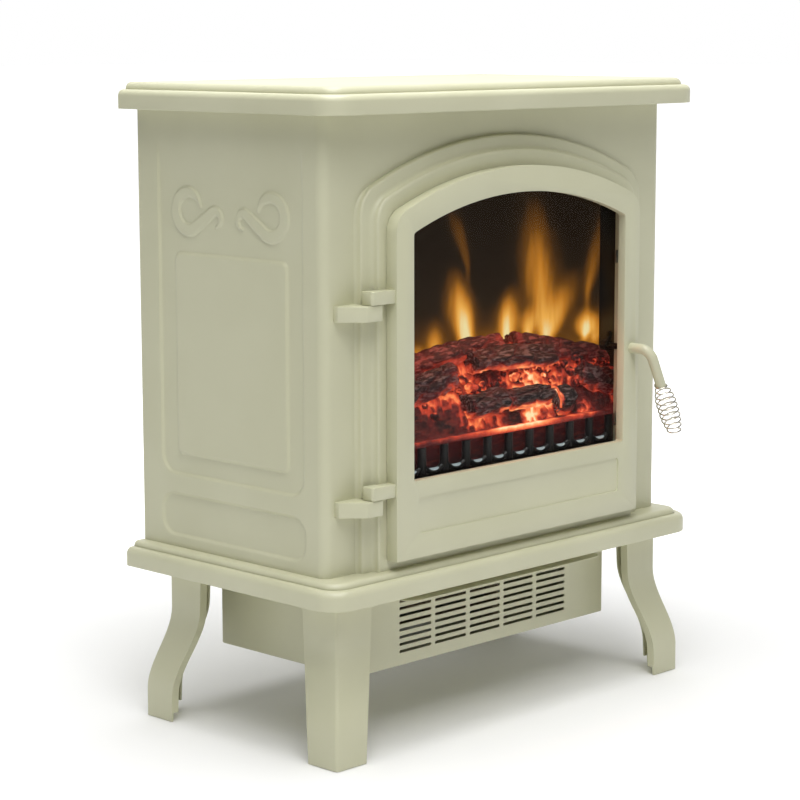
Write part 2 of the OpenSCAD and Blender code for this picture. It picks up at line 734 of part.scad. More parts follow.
module thermal_cutout() color("#e8e4d8") {
    x = fan_x1 - 40;
    z = fan_z + element_hh;
    rod_z([x, element_y, z], 14, 7);
    rod_z([x, element_y, z + 7 - eps], 8, 3);
    block(x - 11, element_y - 3, z, x + 11, element_y + 3, z + 1);
}

// ---------- door ----------

handle_x = door_hw - handle_in;
handle_z = door_z0 + handle_up;
recess_d = 1.5;
recess_in = 28;         // from the door's edge to the recess
recess_low = 21.6;
recess_high = 15;       // under the window

module door_frame() color(cream) difference() {
    upright(door_y0, door_y1, door_outline(0, 0, 0, 0));
    upright(door_y0 - cut, door_y1 + cut, window_outline(0));
    upright(door_y0 + reveal_d, door_y1 + cut, window_outline(glass_lap));
    upright(door_y0 - cut, door_y0 + recess_d, round_rect(recess_in - door_hw, door_z0 + recess_low,
        door_hw - recess_in, window_z0 - recess_high, 4));
    upright(door_y0 + recess_d + door_wall, door_y1 + cut, round_rect(5 - door_hw, door_z0 + 5,
        door_hw - 5, window_z0 - glass_lap - 3, 3));
    rod_y([handle_x, door_y0 - cut, handle_z], rod_d + 2 * run_clear, door_t + 2 * cut);
    for (p = clip_places) rod_y([p[0], door_y1 - 6, p[1]], 2.4, 6 + cut);
}

module door_glass() color([0.5, 0.5, 0.5, 0.4])
    upright(glass_y0, glass_y1, window_outline(glass_lap - 0.3));

module glass_seal() color("#303030") difference() {
    upright(door_y0 + reveal_d, glass_y0, window_outline(glass_lap - 0.3));
    upright(door_y0, glass_y0 + cut, window_outline(1));
}

clip_t = 1.2;
clip_w = 12;
clip_reach = opening_hw - 1;
clip_screw_x = window_hw + glass_lap + 3.4;
clip_places = [for (s = [-1, 1]) for (z = [window_z0 + 20, window_z1 - 70]) [s * clip_screw_x, z]];

module glass_clips() color("silver") for (p = clip_places) {
    s = p[0] > 0 ? 1 : -1;
    x0 = s * (window_hw + 1.5);
    x1 = s * clip_reach;
    block(min(x0, x1), door_y1, p[1] - clip_w / 2, max(x0, x1), door_y1 + clip_t, p[1] + clip_w / 2);
    rod_y([p[0], door_y1 - 5, p[1]], 2.4, 5 + eps);
}

// ---------- hinges ----------

pin_x = -(door_hw + pin_out);
pin_y = panel_y - pin_ahead;
hinge_gap = 0.4;
hinge_levels = [door_z0 + low_hinge, door_z1 - high_hinge];
block_front = pin_y - 7;
knuckle_front = pin_y - 8;

// Plan outline of the fixed block: foot on the panel, sloping arm, then the eye round the pin
function body_block() = [
    [pin_x - 29, panel_y], [pin_x - 29, panel_y - 5.6], [pin_x - 11, block_front],
    [pin_x + 7, block_front], [pin_x + 7, pin_y + 7], [pin_x - 3, pin_y + 7],
    [pin_x - 3, panel_y]];

// Plan outline of the door's block: eye round the pin, then a strap to the door's edge
function door_block() = [
    [-door_hw, knuckle_front], [-door_hw, door_y1], [pin_x + 10.5, door_y1],
    [pin_x + 9, pin_y + 6], [pin_x - 4.5, pin_y + 6], [pin_x - 6.4, pin_y + 4],
    [pin_x - 6.4, knuckle_front + 2], [pin_x - 4.9, knuckle_front]];

module body_hinge_blocks() color(cream) for (z = hinge_levels) difference() {
    translate([0, 0, z - hinge_h]) linear_extrude(hinge_h) polygon(body_block());
    rod_z([pin_x, pin_y, z - hinge_h + 2], pin_d, hinge_h);
}

module door_hinge_blocks() color(cream) for (z = hinge_levels) difference() {
    translate([0, 0, z + hinge_gap]) linear_extrude(hinge_h - 2) polygon(door_block());
    rod_z([pin_x, pin_y, z - cut], pin_d + 2 * run_clear, hinge_h - 2 + cut);
}

module hinge_pins() color("silver") for (z = hinge_levels)
    rod_z([pin_x, pin_y, z - hinge_h + 2], pin_d, hinge_h + hinge_h - 5);

// ---------- handle ----------

bend_r = 11;
arm_y = door_y0 - rod_out;
stud_d = 6;
tongue_y = panel_y + sheet + 0.6;
tongue_t = 3;

arm_sides = 24;
arm_seat = 1;           // how far the arm's sweep starts inside the shaft
arm_r = rod_d / 2 - 0.02;

// Ring of the arm about the point c, where the rod has turned by the angle a
function arm_ring(c, a) = [for (k = [0:arm_sides - 1]) let (b = 360 * k / arm_sides)
    [c[0] + arm_r * cos(b), c[1] - arm_r * sin(b) * sin(a), c[2] + arm_r * sin(b) * cos(a)]];

// The rod leaves the door square, turns through a quarter and hangs down at its lean
module handle_rod() color(cream) {
    rod_y([handle_x, arm_y + bend_r, handle_z], rod_d, door_y1 + 1 - arm_y - bend_r);
    translate([handle_x, arm_y + bend_r, handle_z]) rotate([0, -handle_lean, 0]) skin(concat(
        [arm_ring([0, arm_seat, 0], 0)],
        [for (a = [0:10:90]) arm_ring([0, -bend_r * sin(a), bend_r * (cos(a) - 1)], a)],
        [arm_ring([0, -bend_r, -arm_len], 90)]));
    rod_y([handle_x, door_y1 + 1 - eps, handle_z], stud_d, tongue_y + tongue_t + 7 - door_y1 - 1);
}

grip_turns = 10;
grip_lap = 5;           // length of rod that the coil's first turns hug
turn_steps = 16;
wire_sides = 6;

// Radius of the coil's centre line at a share t of its length: a tight turn, a belly, a tight end
function grip_radius(t) = let (r0 = rod_d / 2 + wire_d / 2 - 0.05, r1 = grip_r - wire_d / 2)
    t < 0.1 ? r0 : r0 + (r1 - r0) * min(1, 1.12 * pow(sin(180 * pow((t - 0.1) / 0.9, 0.9)), 0.8));

// Spring-wire coil, one open strand from the rod's end down to its tip
module handle_coil() color("silver") {
    steps = grip_turns * turn_steps;
    translate([handle_x, arm_y, handle_z]) rotate([0, -handle_lean, 0])
        translate([0, 0, grip_lap - arm_len]) skin([for (i = [0:steps])
            let (t = i / steps, a = 360 * i / turn_steps, z = -(grip_len + grip_lap) * t)
            [for (k = [0:wire_sides - 1])
                let (b = 360 * k / wire_sides, r = grip_radius(t) + wire_d / 2 * sin(b))
                [r * cos(a), r * sin(a), z + wire_d / 2 * cos(b)]]]);
}

tongue_len = 14;
tongue_w = 5;
tongue_angle = 75;      // from +X, seen from the front, with the handle as it hangs

module latch_tongue() color("silver") difference() {
    union() {
        rod_y([handle_x, tongue_y, handle_z], 11, tongue_t);
        translate([handle_x, tongue_y, handle_z]) rotate([0, -tongue_angle, 0]) {
            translate([0, 0, -tongue_w / 2]) cube([tongue_len - tongue_w / 2, tongue_t, tongue_w]);
            rod_y([tongue_len - tongue_w / 2, 0, 0], tongue_w, tongue_t);
        }
    }
    rod_y([handle_x, tongue_y - cut, handle_z], stud_d, tongue_t + 2 * cut);
}

module latch_nut() color("silver") difference() {
    translate([handle_x, tongue_y + tongue_t, handle_z]) rotate([-90, 0, 0]) cylinder(d = 11, h = 5, $fn = 6);
    rod_y([handle_x, tongue_y, handle_z], stud_d, 12);
}

// ---------- fire ----------

fire_sheet = 1;
fire_y0 = panel_y + sheet;
fire_y1 = back_y - 12;
fire_z0 = window_z0 - 6;
fire_z1 = door_z1 - door_lap + 6;
grate_y = fire_y0 + bar_d / 2;

// Four-sided sleeve from the front panel to the reflector, open at the front and the back
module firebox_liner() color("#1d1b1a") difference() {
    block(-fire_hw, fire_y0, fire_z0, fire_hw, fire_y1, fire_z1);
    block(fire_sheet - fire_hw, fire_y0 - cut, fire_z0 + fire_sheet,
        fire_hw - fire_sheet, fire_y1 + cut, fire_z1 - fire_sheet);
}

module flame_screen() color([0.35, 0.2, 0.1, 0.8])
    block(fire_sheet - fire_hw + 0.3, screen_y, fire_z0 + fire_sheet,
        fire_hw - fire_sheet - 0.3, screen_y + screen_t, fire_z1 - fire_sheet);

// Bright sheet that closes the sleeve's back, with its two edges bent forward
module flame_reflector() color("#cfd2d4") {
    x = fire_hw - fire_sheet - 1;
    y = fire_y1 - 2;
    z0 = fire_z0 + fire_sheet;
    z1 = fire_z1 - fire_sheet;
    block(-x, y, z0, x, y + 1, z1);
    block(-x, y - 20, z1 - 1, x, y + eps, z1);
    block(-x, y - 30, z0, x, y + eps, z0 + 1);
}

bed_hw = fire_hw - fire_sheet - 1.5;
bed_y0 = grate_y + bar_d / 2 + 1.5;
bed_y1 = screen_y - 1;
bed_z = fire_z0 + fire_sheet;
bed_wall = 3;
bed_lip = 5;            // thickness of the lip over the grate's bars
lip_y0 = grate_y - bar_d / 2;

// Heap's slope as [share of the depth, share of the climb from its front to its full height]
bed_climb = [[0, 0.03], [0.17, 0.25], [0.29, 0.40], [0.48, 0.63], [0.72, 0.91], [0.81, 1], [1, 1]];
// Heap's crown as [share of the half width, share of its full height]
bed_crown = [[-1, 0.86], [-0.36, 0.92], [0, 1], [0.44, 1], [1, 0.68]];
bed_room = 18;          // from the heap's crown down to the hollow under it

function bed_top(share) = bed_z + bed_front_h + (bed_back_h - bed_front_h) * lookup(share, bed_climb);

// Heaped shell of the ember bed, open underneath, with a lip over the grate
module ember_bed() color("#7a2a18") difference() {
    intersection() {
        crosswise(-bed_hw, bed_hw, concat([[bed_y0, bed_z], [bed_y1, bed_z]],
            [for (i = [len(bed_climb) - 1:-1:0]) let (c = bed_climb[i])
                [bed_y0 + c[0] * (bed_y1 - bed_y0), bed_top(c[0])]],
            [[lip_y0, bed_z + bed_front_h], [lip_y0, bed_z + bed_front_h - bed_lip],
                [bed_y0, bed_z + bed_front_h - bed_lip]]));
        upright(lip_y0 - cut, bed_y1 + cut, concat(
            [[-bed_hw - cut, bed_z - cut], [bed_hw + cut, bed_z - cut]],
            [for (i = [len(bed_crown) - 1:-1:0]) let (c = bed_crown[i])
                [c[0] * (bed_hw + (abs(c[0]) == 1 ? cut : 0)), bed_z + bed_back_h * c[1]]]));
    }
    crosswise(bed_wall - bed_hw, bed_hw - bed_wall, [[bed_y0 + bed_wall, bed_z - cut],
        [bed_y1 - bed_wall, bed_z - cut], [bed_y1 - bed_wall, bed_z + bed_back_h * 0.68 - bed_room],
        [bed_y0 + bed_wall, bed_z + bed_front_h - bed_wall]]);
}

// Log with flat ends between two points, faceted like split wood
module split_log(p, q, d, sides) {
    v = q - p;
    translate(p) rotate([0, 0, atan2(v[1], v[0])]) rotate([0, 90 - atan2(v[2], norm([v[0], v[1]])), 0])
        rotate(9) cylinder(d = d, h = norm(v), $fn = sides);
}

// Point over the ember bed: x, a share of the bed's depth, and a height over its slope
function over_bed(x, share, up) = [x, bed_y0 + share * (bed_y1 - bed_y0), bed_top(share) + up];

module back_left_log() color("#3a1a14") split_log(over_bed(-165, 0.78, -6), over_bed(42, 0.78, 10.5), 19, 9);
module back_right_log() color("#8a2a18")
    split_log(over_bed(60, 0.78, 9.5), over_bed(196, 0.78, -20.5), 19, 8);
module left_log() color("#2c1714") split_log(over_bed(-150, 0.51, -12), over_bed(-38, 0.51, 5), 25, 9);
module centre_log() color("#2c1714") split_log(over_bed(-8, 0.53, 14), over_bed(110, 0.53, 11), 20, 9);
module right_log() color("#2c1714") split_log(over_bed(134, 0.29, 8), over_bed(190, 0.29, -8.5), 22, 9);
module front_left_log() color("#4a211b") split_log(over_bed(-31, 0.17, 5), over_bed(22, 0.17, 5.5), 23, 8);
module front_middle_log() color("#4a211b") split_log(over_bed(28, 0.19, 4.5), over_bed(86, 0.21, 2), 19, 8);
module front_right_log() color("#4a211b") split_log(over_bed(102, 0, 10.5), over_bed(102, 0.36, -18), 22, 10);

// Round bars on a rail in front of the ember bed, up to its lip
module fire_grate() color("#151514") {
    w = (bar_count - 1) * bar_pitch + bar_d + 6;
    rail_h = 3;
    bar_h = bed_front_h - bed_lip - 0.4;
    block(-w / 2, grate_y - bar_d / 2, bed_z, w / 2, grate_y + bar_d / 2, bed_z + rail_h);
    for (i = [0:bar_count - 1])
        rod_z([(i - (bar_count - 1) / 2) * bar_pitch, grate_y, bed_z + rail_h - eps], bar_d, bar_h - rail_h);
}

spindle_y = screen_y + 40;
spindle_z = fire_z0 + 35;
spindle_floor = fire_z0 + fire_sheet;
spindle_hw = fire_hw - 28;
flag_l = 24;
flag_w = 13;

// Thin shaft with short bright flags set at changing angles
module flame_spindle() color("#d5d8da") {
    rod_x([-spindle_hw - 6, spindle_y, spindle_z], spindle_d, 2 * spindle_hw + 6 + 12);
    for (i = [0:flag_count - 1]) {
        x = -spindle_hw + 10 + i * (2 * spindle_hw - 20 - flag_l) / (flag_count - 1);
        translate([x, spindle_y, spindle_z]) rotate([i * 50, 0, 0])
            translate([0, -flag_w, -0.3]) cube([flag_l, 2 * flag_w, 0.6]);
    }
}

bracket_t = 2;

module spindle_bracket() color("#8d9093") difference() {
    union() {
        block(-spindle_hw - 3 - bracket_t, spindle_y - 12, spindle_floor,
            -spindle_hw - 3, spindle_y + 12, spindle_z + 12);
        block(-spindle_hw - 20, spindle_y - 12, spindle_floor,
            -spindle_hw - 3, spindle_y + 12, spindle_floor + bracket_t);
        block(spindle_hw + 3, spindle_y - 28, spindle_floor,
            spindle_hw + 3 + bracket_t, spindle_y + 28, spindle_z + 28);
    }
    rod_x([-spindle_hw - 30, spindle_y, spindle_z], spindle_d + 2 * run_clear, 2 * spindle_hw + 60);
}

module spindle_motor() color("#c8c8c0") difference() {
    union() {
        rod_x([spindle_hw + 3 + bracket_t, spindle_y, spindle_z], 50, 15);
        rod_x([spindle_hw + 3 + bracket_t, spindle_y, spindle_z], 52, 2);
    }
    rod_x([spindle_hw, spindle_y, spindle_z], spindle_d + 2 * run_clear, 14);
}

lamp_places = [-90, 90];
lamp_y = screen_y + 18;
lamp_z = fire_z0 + 17;

module lamp_holders() color("#e6e3da") for (x = lamp_places) {
    rod_x([x - 34, lamp_y, lamp_z], 22, 22);
    block(x - 34, lamp_y - 11, fire_z0 + fire_sheet, x - 18, lamp_y + 11, lamp_z);
}

module lamps() color("#fff1c8") for (x = lamp_places) {
    rod_x([x - 12, lamp_y, lamp_z], 13, 8);
    translate([x - 4 - eps, lamp_y, lamp_z]) rotate([0, 90, 0]) rotate_extrude() polygon(
        concat([[0, 0], [6.5, 0]], [for (a = [0:10:80]) [13 * cos(a) * (a < 1 ? 0.6 : 1), 10 + 22 * sin(a)]],
            [[0, 32]]));
}

// ---------- controls ----------

control_y = panel_y + sheet;
control_hw = opening_hw + 8;
control_t = 2;
control_z0 = door_z0 + door_lap - 4;
control_z1 = fire_z0 - 1;
control_z = (control_z0 + control_z1) / 2;
rocker_x0 = -88;
thermostat_x = 40;
dimmer_x = 96;
bezel = 2.5;
rocker_clear = 0.4;
knob_gap = 1;
knob_h = 9;

function rocker_x(i) = rocker_x0 + i * rocker_pitch;

housing_d = 18;                         // depth of the housings behind the plate's face
rocker_room = 12;
bezel_out = 2;
bushing_r = 14;
bushing_bore = 16;

// Box round rocker i, grown by g, between two depths
module rocker_box(i, g, y0, y1) block(rocker_x(i) - rocker_w / 2 - g, y0, control_z - rocker_h / 2 - g,
    rocker_x(i) + rocker_w / 2 + g, y1, control_z + rocker_h / 2 + g);

// Plate with the switch housings behind it and a bushing for each knob's shaft
module control_panel() color("#1f1f20") difference() {
    union() {
        block(-control_hw, control_y, control_z0, control_hw, control_y + control_t, control_z1);
        for (i = [0:2]) rocker_box(i, bezel, control_y - bezel_out, control_y + housing_d);
        for (x = [thermostat_x, dimmer_x]) block(x - bushing_r, control_y, control_z - bushing_r,
            x + bushing_r, control_y + housing_d, control_z + bushing_r);
    }
    for (i = [0:2]) rocker_box(i, rocker_clear, control_y - bezel_out - cut, control_y + rocker_room);
    for (x = [thermostat_x, dimmer_x])
        rod_y([x, control_y - cut, control_z], knob_shaft_d + 2 * run_clear, bushing_bore);
}

rocker_y = control_y + 3;     // axis of the rockers' tilt

// Rocker button in its off position: its lower half pressed in
module rocker(i) {
    translate([rocker_x(i), rocker_y, control_z]) rotate([rocker_tilt, 0, 0]) {
        crosswise(-rocker_w / 2, rocker_w / 2, [[5, 0], [1, -rocker_h / 2 + 0.5], [-6, -rocker_h / 2 + 0.8],
            [-4.2, 0], [-6, rocker_h / 2 - 0.8], [1, rocker_h / 2 - 0.5]]);
    }
}

module power_switch() color("#b02018") rocker(0);
module low_heat_switch() color("#303032") rocker(1);
module high_heat_switch() color("#303032") rocker(2);

// Knob with a pointer rib, on its own shaft
module knob(x, d) {
    rod_y([x, control_y - knob_gap, control_z], knob_shaft_d, knob_gap + 12);
    rod_y([x, control_y - knob_gap - 2.5, control_z], d, 2.5 + eps);
    rod_y([x, control_y - knob_gap - knob_h, control_z], d * 0.72, knob_h - 2.5 + eps);
    block(x - 1.5, control_y - knob_gap - knob_h - 1, control_z, x + 1.5, control_y - knob_gap - knob_h + 1,
        control_z + d * 0.34);
}

module thermostat_knob() color("#303032") knob(thermostat_x, thermostat_d);
module flame_dimmer_knob() color("#303032") knob(dimmer_x, dimmer_d);

module terminal_block() color("#e8e4d8") difference() {
    block(gland_x - 40, back_y - 60, base_z1, gland_x - 4, back_y - 42, base_z1 + 16);
    for (i = [0:3]) rod_z([gland_x - 35.5 + i * 9, back_y - 51, base_z1 + 8], 4, 12);
}

lid();
base_plate();
left_side_panel();
right_side_panel();
front_panel();
arch_surround();
back_panel();
back_panel_screws();
cable_gland();
front_left_leg();
front_right_leg();
rear_left_leg();
rear_right_leg();
leg_screws();
heater_box();
heat_deflector();
fan_housing();
fan_impeller();
fan_motor();
heating_element();
thermal_cutout();
door_frame();
door_glass();
glass_seal();
glass_clips();
door_hinge_blocks();
body_hinge_blocks();
hinge_pins();
handle_rod();
handle_coil();
latch_tongue();
latch_nut();
firebox_liner();
flame_screen();
flame_reflector();
ember_bed();
back_left_log();
back_right_log();
left_log();
centre_log();
right_log();
front_left_log();
front_middle_log();
front_right_log();
fire_grate();
flame_spindle();
spindle_bracket();
spindle_motor();
lamp_holders();
lamps();
control_panel();
power_switch();
low_heat_switch();
high_heat_switch();
thermostat_knob();
flame_dimmer_knob();
terminal_block();
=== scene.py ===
"""Looks of a freestanding electric stove heater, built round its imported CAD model.

The cream casing, the glazed door, the spring-grip handle and the log fire are remade here as fine
meshes that stand for their CAD nodes. Every other node keeps its CAD mesh and gets a finish.
Lengths are in metres in the CAD frame: +X right, +Y back, +Z up, and the door faces -Y.
"""

import functools
import json
import logging
import math
import random
from collections.abc import Callable, Sequence
from dataclasses import dataclass, field
from enum import Enum

import bmesh
import bpy
import numpy as np
from mathutils import Matrix, Vector, noise

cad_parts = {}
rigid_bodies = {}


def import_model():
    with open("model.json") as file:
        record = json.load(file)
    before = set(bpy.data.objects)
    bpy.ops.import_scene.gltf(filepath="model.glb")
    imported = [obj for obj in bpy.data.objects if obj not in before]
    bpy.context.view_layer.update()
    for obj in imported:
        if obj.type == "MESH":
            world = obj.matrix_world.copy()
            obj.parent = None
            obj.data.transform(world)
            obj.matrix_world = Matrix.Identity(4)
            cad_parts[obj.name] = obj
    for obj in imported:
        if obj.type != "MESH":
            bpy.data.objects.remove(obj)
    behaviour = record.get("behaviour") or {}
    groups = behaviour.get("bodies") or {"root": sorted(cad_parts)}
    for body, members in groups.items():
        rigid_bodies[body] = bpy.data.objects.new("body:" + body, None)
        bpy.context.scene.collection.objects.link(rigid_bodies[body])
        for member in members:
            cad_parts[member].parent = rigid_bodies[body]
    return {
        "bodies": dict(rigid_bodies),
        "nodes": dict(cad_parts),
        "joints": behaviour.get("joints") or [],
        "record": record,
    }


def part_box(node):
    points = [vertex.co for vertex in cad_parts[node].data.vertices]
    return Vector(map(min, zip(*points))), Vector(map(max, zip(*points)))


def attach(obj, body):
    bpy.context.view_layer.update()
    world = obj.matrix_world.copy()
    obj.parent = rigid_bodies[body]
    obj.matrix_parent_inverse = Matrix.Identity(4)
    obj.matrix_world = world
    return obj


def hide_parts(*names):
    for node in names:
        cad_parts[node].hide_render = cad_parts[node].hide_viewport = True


LOG = logging.getLogger("stove")
MM = 0.001
Triple = tuple[float, float, float]
Colour = Triple
Point = tuple[float, float]


class Slot(Enum):
    """Material slots of the record."""

    CREAM = "cream_paint"
    ZINC = "zinc_steel"
    SPRING = "spring_wire"
    GALVANISED = "galvanised_sheet"
    ALUMINIUM = "impeller_aluminium"
    MICA = "mica_board"
    CERAMIC = "ceramic_white"
    GLASS = "tinted_glass"
    SEAL = "seal_rope"
    ENAMEL = "black_enamel"
    SCREEN = "flame_screen"
    EMBERS = "ember_resin"
    CHARRED = "charred_resin"
    LAMP = "lamp_glass"
    BLACK_PLASTIC = "black_plastic"
    RED_PLASTIC = "red_plastic"
    MOTOR_PLASTIC = "motor_plastic"


# ---------- shader graphs ----------


class Value:
    """A shader socket that takes part in Python arithmetic."""

    def __init__(self, graph: "Graph", socket: bpy.types.NodeSocket) -> None:
        """Wraps a socket of a graph.

        Args:
            graph: the graph that new nodes are added to.
            socket: the output socket that holds the value.
        """
        self.graph = graph
        self.socket = socket

    def math(self, operation: str, *others: "Value | float") -> "Value":
        """Adds a Math node with this value as its first input.

        Args:
            operation: the Math node's operation.
            others: the node's further inputs.

        Returns:
            The node's result.
        """
        return self.graph.node("ShaderNodeMath", {"operation": operation}, dict(enumerate((self, *others))))

    def __add__(self, other: "Value | float") -> "Value":
        """Sum."""
        return self.math("ADD", other)

    __radd__ = __add__

    def __sub__(self, other: "Value | float") -> "Value":
        """Difference."""
        return self.math("SUBTRACT", other)

    def __rsub__(self, other: float) -> "Value":
        """Difference from a number."""
        return self.graph.node("ShaderNodeMath", {"operation": "SUBTRACT"}, {0: other, 1: self})

    def __mul__(self, other: "Value | float") -> "Value":
        """Product."""
        return self.math("MULTIPLY", other)

    def __truediv__(self, other: "Value | float") -> "Value":
        """Quotient."""
        return self.math("DIVIDE", other)

    def __neg__(self) -> "Value":
        """The value with its sign changed."""
        return self * -1.0

    def clamp(self) -> "Value":
        """The value held between 0 and 1."""
        return self.math("MAXIMUM", 0.0).math("MINIMUM", 1.0)

    def step(self, low: float, high: float) -> "Value":
        """Smooth step that is 0 at low and 1 at high."""
        settings = {"interpolation_type": "SMOOTHSTEP"}
        return self.graph.node("ShaderNodeMapRange", settings, {0: self, 1: low, 2: high, 3: 0.0, 4: 1.0})


class Graph:
    """Node tree of one material."""

    def __init__(self, name: str) -> None:
        """Starts an empty material.

        Args:
            name: the material's name.
        """
        self.material = bpy.data.materials.new(name)
        self.material.use_nodes = True
        self.tree = self.material.node_tree
        self.tree.nodes.clear()

    def node(self, kind: str, settings: dict | None = None, inputs: dict | None = None,
             output: int | str = 0) -> Value:
        """Adds any node.

        Args:
            kind: the node's type.
            settings: the node's properties, and "stops" for a colour ramp, set before its inputs.
            inputs: socket names or numbers, each with a number, a colour or a Value.
            output: the output socket to return.

        Returns:
            That output as a Value.
        """
        made = self.tree.nodes.new(kind)
        for key, setting in (settings or {}).items():
            if key == "stops":
                self._set_stops(made.color_ramp, setting)
            else:
                setattr(made, key, setting)
        for key, given in (inputs or {}).items():
            if isinstance(given, Value):
                self.tree.links.new(given.socket, made.inputs[key])
            else:
                made.inputs[key].default_value = given
        return Value(self, made.outputs[output])

    @staticmethod
    def _set_stops(ramp: bpy.types.ColorRamp, stops: Sequence[tuple[float, Colour]]) -> None:
        """Gives a colour ramp its stops.

        Args:
            ramp: the colour ramp.
            stops: the place and the colour of each stop.
        """
        while len(ramp.elements) < len(stops):
            ramp.elements.new(1.0)
        for element, (place, colour) in zip(ramp.elements, stops):
            element.position = place
            element.color = (*colour, 1.0)

    @functools.cached_property
    def place(self) -> Value:
        """Position in the CAD frame, in metres."""
        return self.node("ShaderNodeTexCoord", output="Object")

    def stretched(self, scale: Triple) -> Value:
        """Position scaled along each axis, for grain that runs one way."""
        return self.node("ShaderNodeVectorMath", {"operation": "MULTIPLY"}, {0: self.place, 1: scale})

    def axis(self, letter: str) -> Value:
        """One coordinate of the position, named X, Y or Z."""
        return self.node("ShaderNodeSeparateXYZ", inputs={0: self.place}, output=letter)

    def noise(self, scale: float, detail: float = 3.0, where: Value | None = None,
              distortion: float = 0.0) -> Value:
        """Fractal noise about 0.5, with its features 1 / scale metres apart."""
        inputs = {"Vector": where or self.place, "Scale": scale, "Detail": detail, "Distortion": distortion}
        return self.node("ShaderNodeTexNoise", inputs=inputs)

    def ramp(self, factor: Value, stops: Sequence[tuple[float, Colour]]) -> Value:
        """Colour of a value along a ramp."""
        return self.node("ShaderNodeValToRGB", {"stops": stops}, {0: factor})

    def mix(self, factor: Value | float, first: Value | Colour, second: Value | Colour) -> Value:
        """Colour between two colours."""
        pair = [c if isinstance(c, Value) else (*c, 1.0) for c in (first, second)]
        return self.node("ShaderNodeMix", {"data_type": "RGBA"}, {0: factor, 6: pair[0], 7: pair[1]}, 2)

    def bump(self, height: Value, distance: float, strength: float = 1.0) -> Value:
        """Normal of a height, where a height of 1 stands that distance proud."""
        inputs = {"Height": height, "Distance": distance, "Strength": strength}
        return self.node("ShaderNodeBump", inputs=inputs)

    def finish(self, inputs: dict) -> bpy.types.Material:
        """Closes the material with one Principled shader.

        Args:
            inputs: the shader's sockets with their numbers, colours or Values.

        Returns:
            The material.
        """
        fitted = {k: (*v, 1.0) if isinstance(v, tuple) and len(v) == 3 else v for k, v in inputs.items()}
        shader = self.node("ShaderNodeBsdfPrincipled", inputs=fitted)
        end = self.tree.nodes.new("ShaderNodeOutputMaterial")
        self.tree.links.new(shader.socket, end.inputs[0])
        return self.material


# ---------- finishes ----------


class Finish:
    """A finish that makes one material."""

    def make(self) -> bpy.types.Material:
        """Builds the material.

        Returns:
            The material.
        """
        raise NotImplementedError


@functools.cache
def material_of(finish: Finish) -> bpy.types.Material:
    """The material of a finish, made once."""
    return finish.make()


@dataclass(frozen=True)
class PowderCoat(Finish):
    """Satin powder coat with a faint orange peel and soft changes of tone."""

    colour: Colour = (0.606, 0.600, 0.424)
    shade: Colour = (0.584, 0.578, 0.402)
    roughness: float = 0.42
    lacquer: float = 0.20
    lacquer_roughness: float = 0.25
    peel_height: float = 0.00012

    def make(self) -> bpy.types.Material:
        """Builds the material.

        Returns:
            The material.
        """
        g = Graph("cream_powder_coat")
        tone = g.noise(9.0, 2.0)
        peel = g.noise(650.0, 2.0)
        gloss = g.noise(40.0, 3.0)
        return g.finish({
            "Base Color": g.mix(tone.step(0.35, 0.65), self.colour, self.shade),
            "Roughness": self.roughness + (gloss - 0.5) * 0.10,
            "Coat Weight": self.lacquer,
            "Coat Roughness": self.lacquer_roughness,
            "Normal": g.bump(peel, self.peel_height, 0.35),
        })


@dataclass(frozen=True)
class Metal(Finish):
    """Bare or plated metal, drawn or rolled along one direction, that can glow in its own colour as a painted
    highlight.
    """

    name: str
    colour: Colour
    dark: Colour
    roughness: float = 0.3
    grain: Triple = (30.0, 900.0, 900.0)
    depth: float = 0.00002
    painted_glint: float = 0.0

    def make(self) -> bpy.types.Material:
        """Builds the material.

        Returns:
            The material.
        """
        g = Graph(self.name)
        lines = g.noise(1.0, 2.0, g.stretched(self.grain))
        cloud = g.noise(60.0, 4.0)
        return g.finish({
            "Base Color": g.mix(cloud.step(0.30, 0.70), self.colour, self.dark),
            "Metallic": 1.0,
            # Painted highlight: painted_glint makes the metal glow in its own colour.
            "Emission Color": self.colour,
            "Emission Strength": self.painted_glint,
            "Roughness": self.roughness + (lines - 0.5) * 0.22,
            "Normal": g.bump(lines, self.depth, 0.5),
        })


@dataclass(frozen=True)
class Moulded(Finish):
    """Moulded plastic, board or ceramic with a fine grain."""

    name: str
    colour: Colour
    second: Colour
    roughness: float = 0.5
    grain: float = 900.0
    depth: float = 0.00008

    def make(self) -> bpy.types.Material:
        """Builds the material.

        Returns:
            The material.
        """
        g = Graph(self.name)
        grain = g.noise(self.grain, 2.0)
        cloud = g.noise(45.0, 3.0)
        return g.finish({
            "Base Color": g.mix(cloud.step(0.35, 0.70), self.colour, self.second),
            "Roughness": self.roughness + (grain - 0.5) * 0.12,
            "Normal": g.bump(grain, self.depth, 0.5),
        })


@dataclass(frozen=True)
class Enamel(Finish):
    """Satin black stove enamel."""

    colour: Colour = (0.012, 0.013, 0.012)
    dust: Colour = (0.030, 0.028, 0.025)
    roughness: float = 0.34

    def make(self) -> bpy.types.Material:
        """Builds the material.

        Returns:
            The material.
        """
        g = Graph("black_stove_enamel")
        peel = g.noise(500.0, 2.0)
        haze = g.noise(35.0, 4.0)
        return g.finish({
            "Base Color": g.mix(haze.step(0.50, 0.80), self.colour, self.dust),
            "Roughness": self.roughness + haze * 0.12,
            "Normal": g.bump(peel, 0.0001, 0.4),
        })


@dataclass(frozen=True)
class SmokedGlass(Finish):
    """Clear flat glass with a slight smoke tint."""

    tint: Colour = (0.010, 0.008, 0.007)
    cover: float = 0.10
    reflection: float = 0.32

    def make(self) -> bpy.types.Material:
        """Builds the material.

        Returns:
            The material.
        """
        g = Graph("smoked_door_glass")
        smear = g.noise(14.0, 3.0)
        return g.finish({
            "Base Color": self.tint,
            "Roughness": 0.03 + smear * 0.03,
            "Alpha": self.cover,
            "Specular IOR Level": self.reflection,
        })


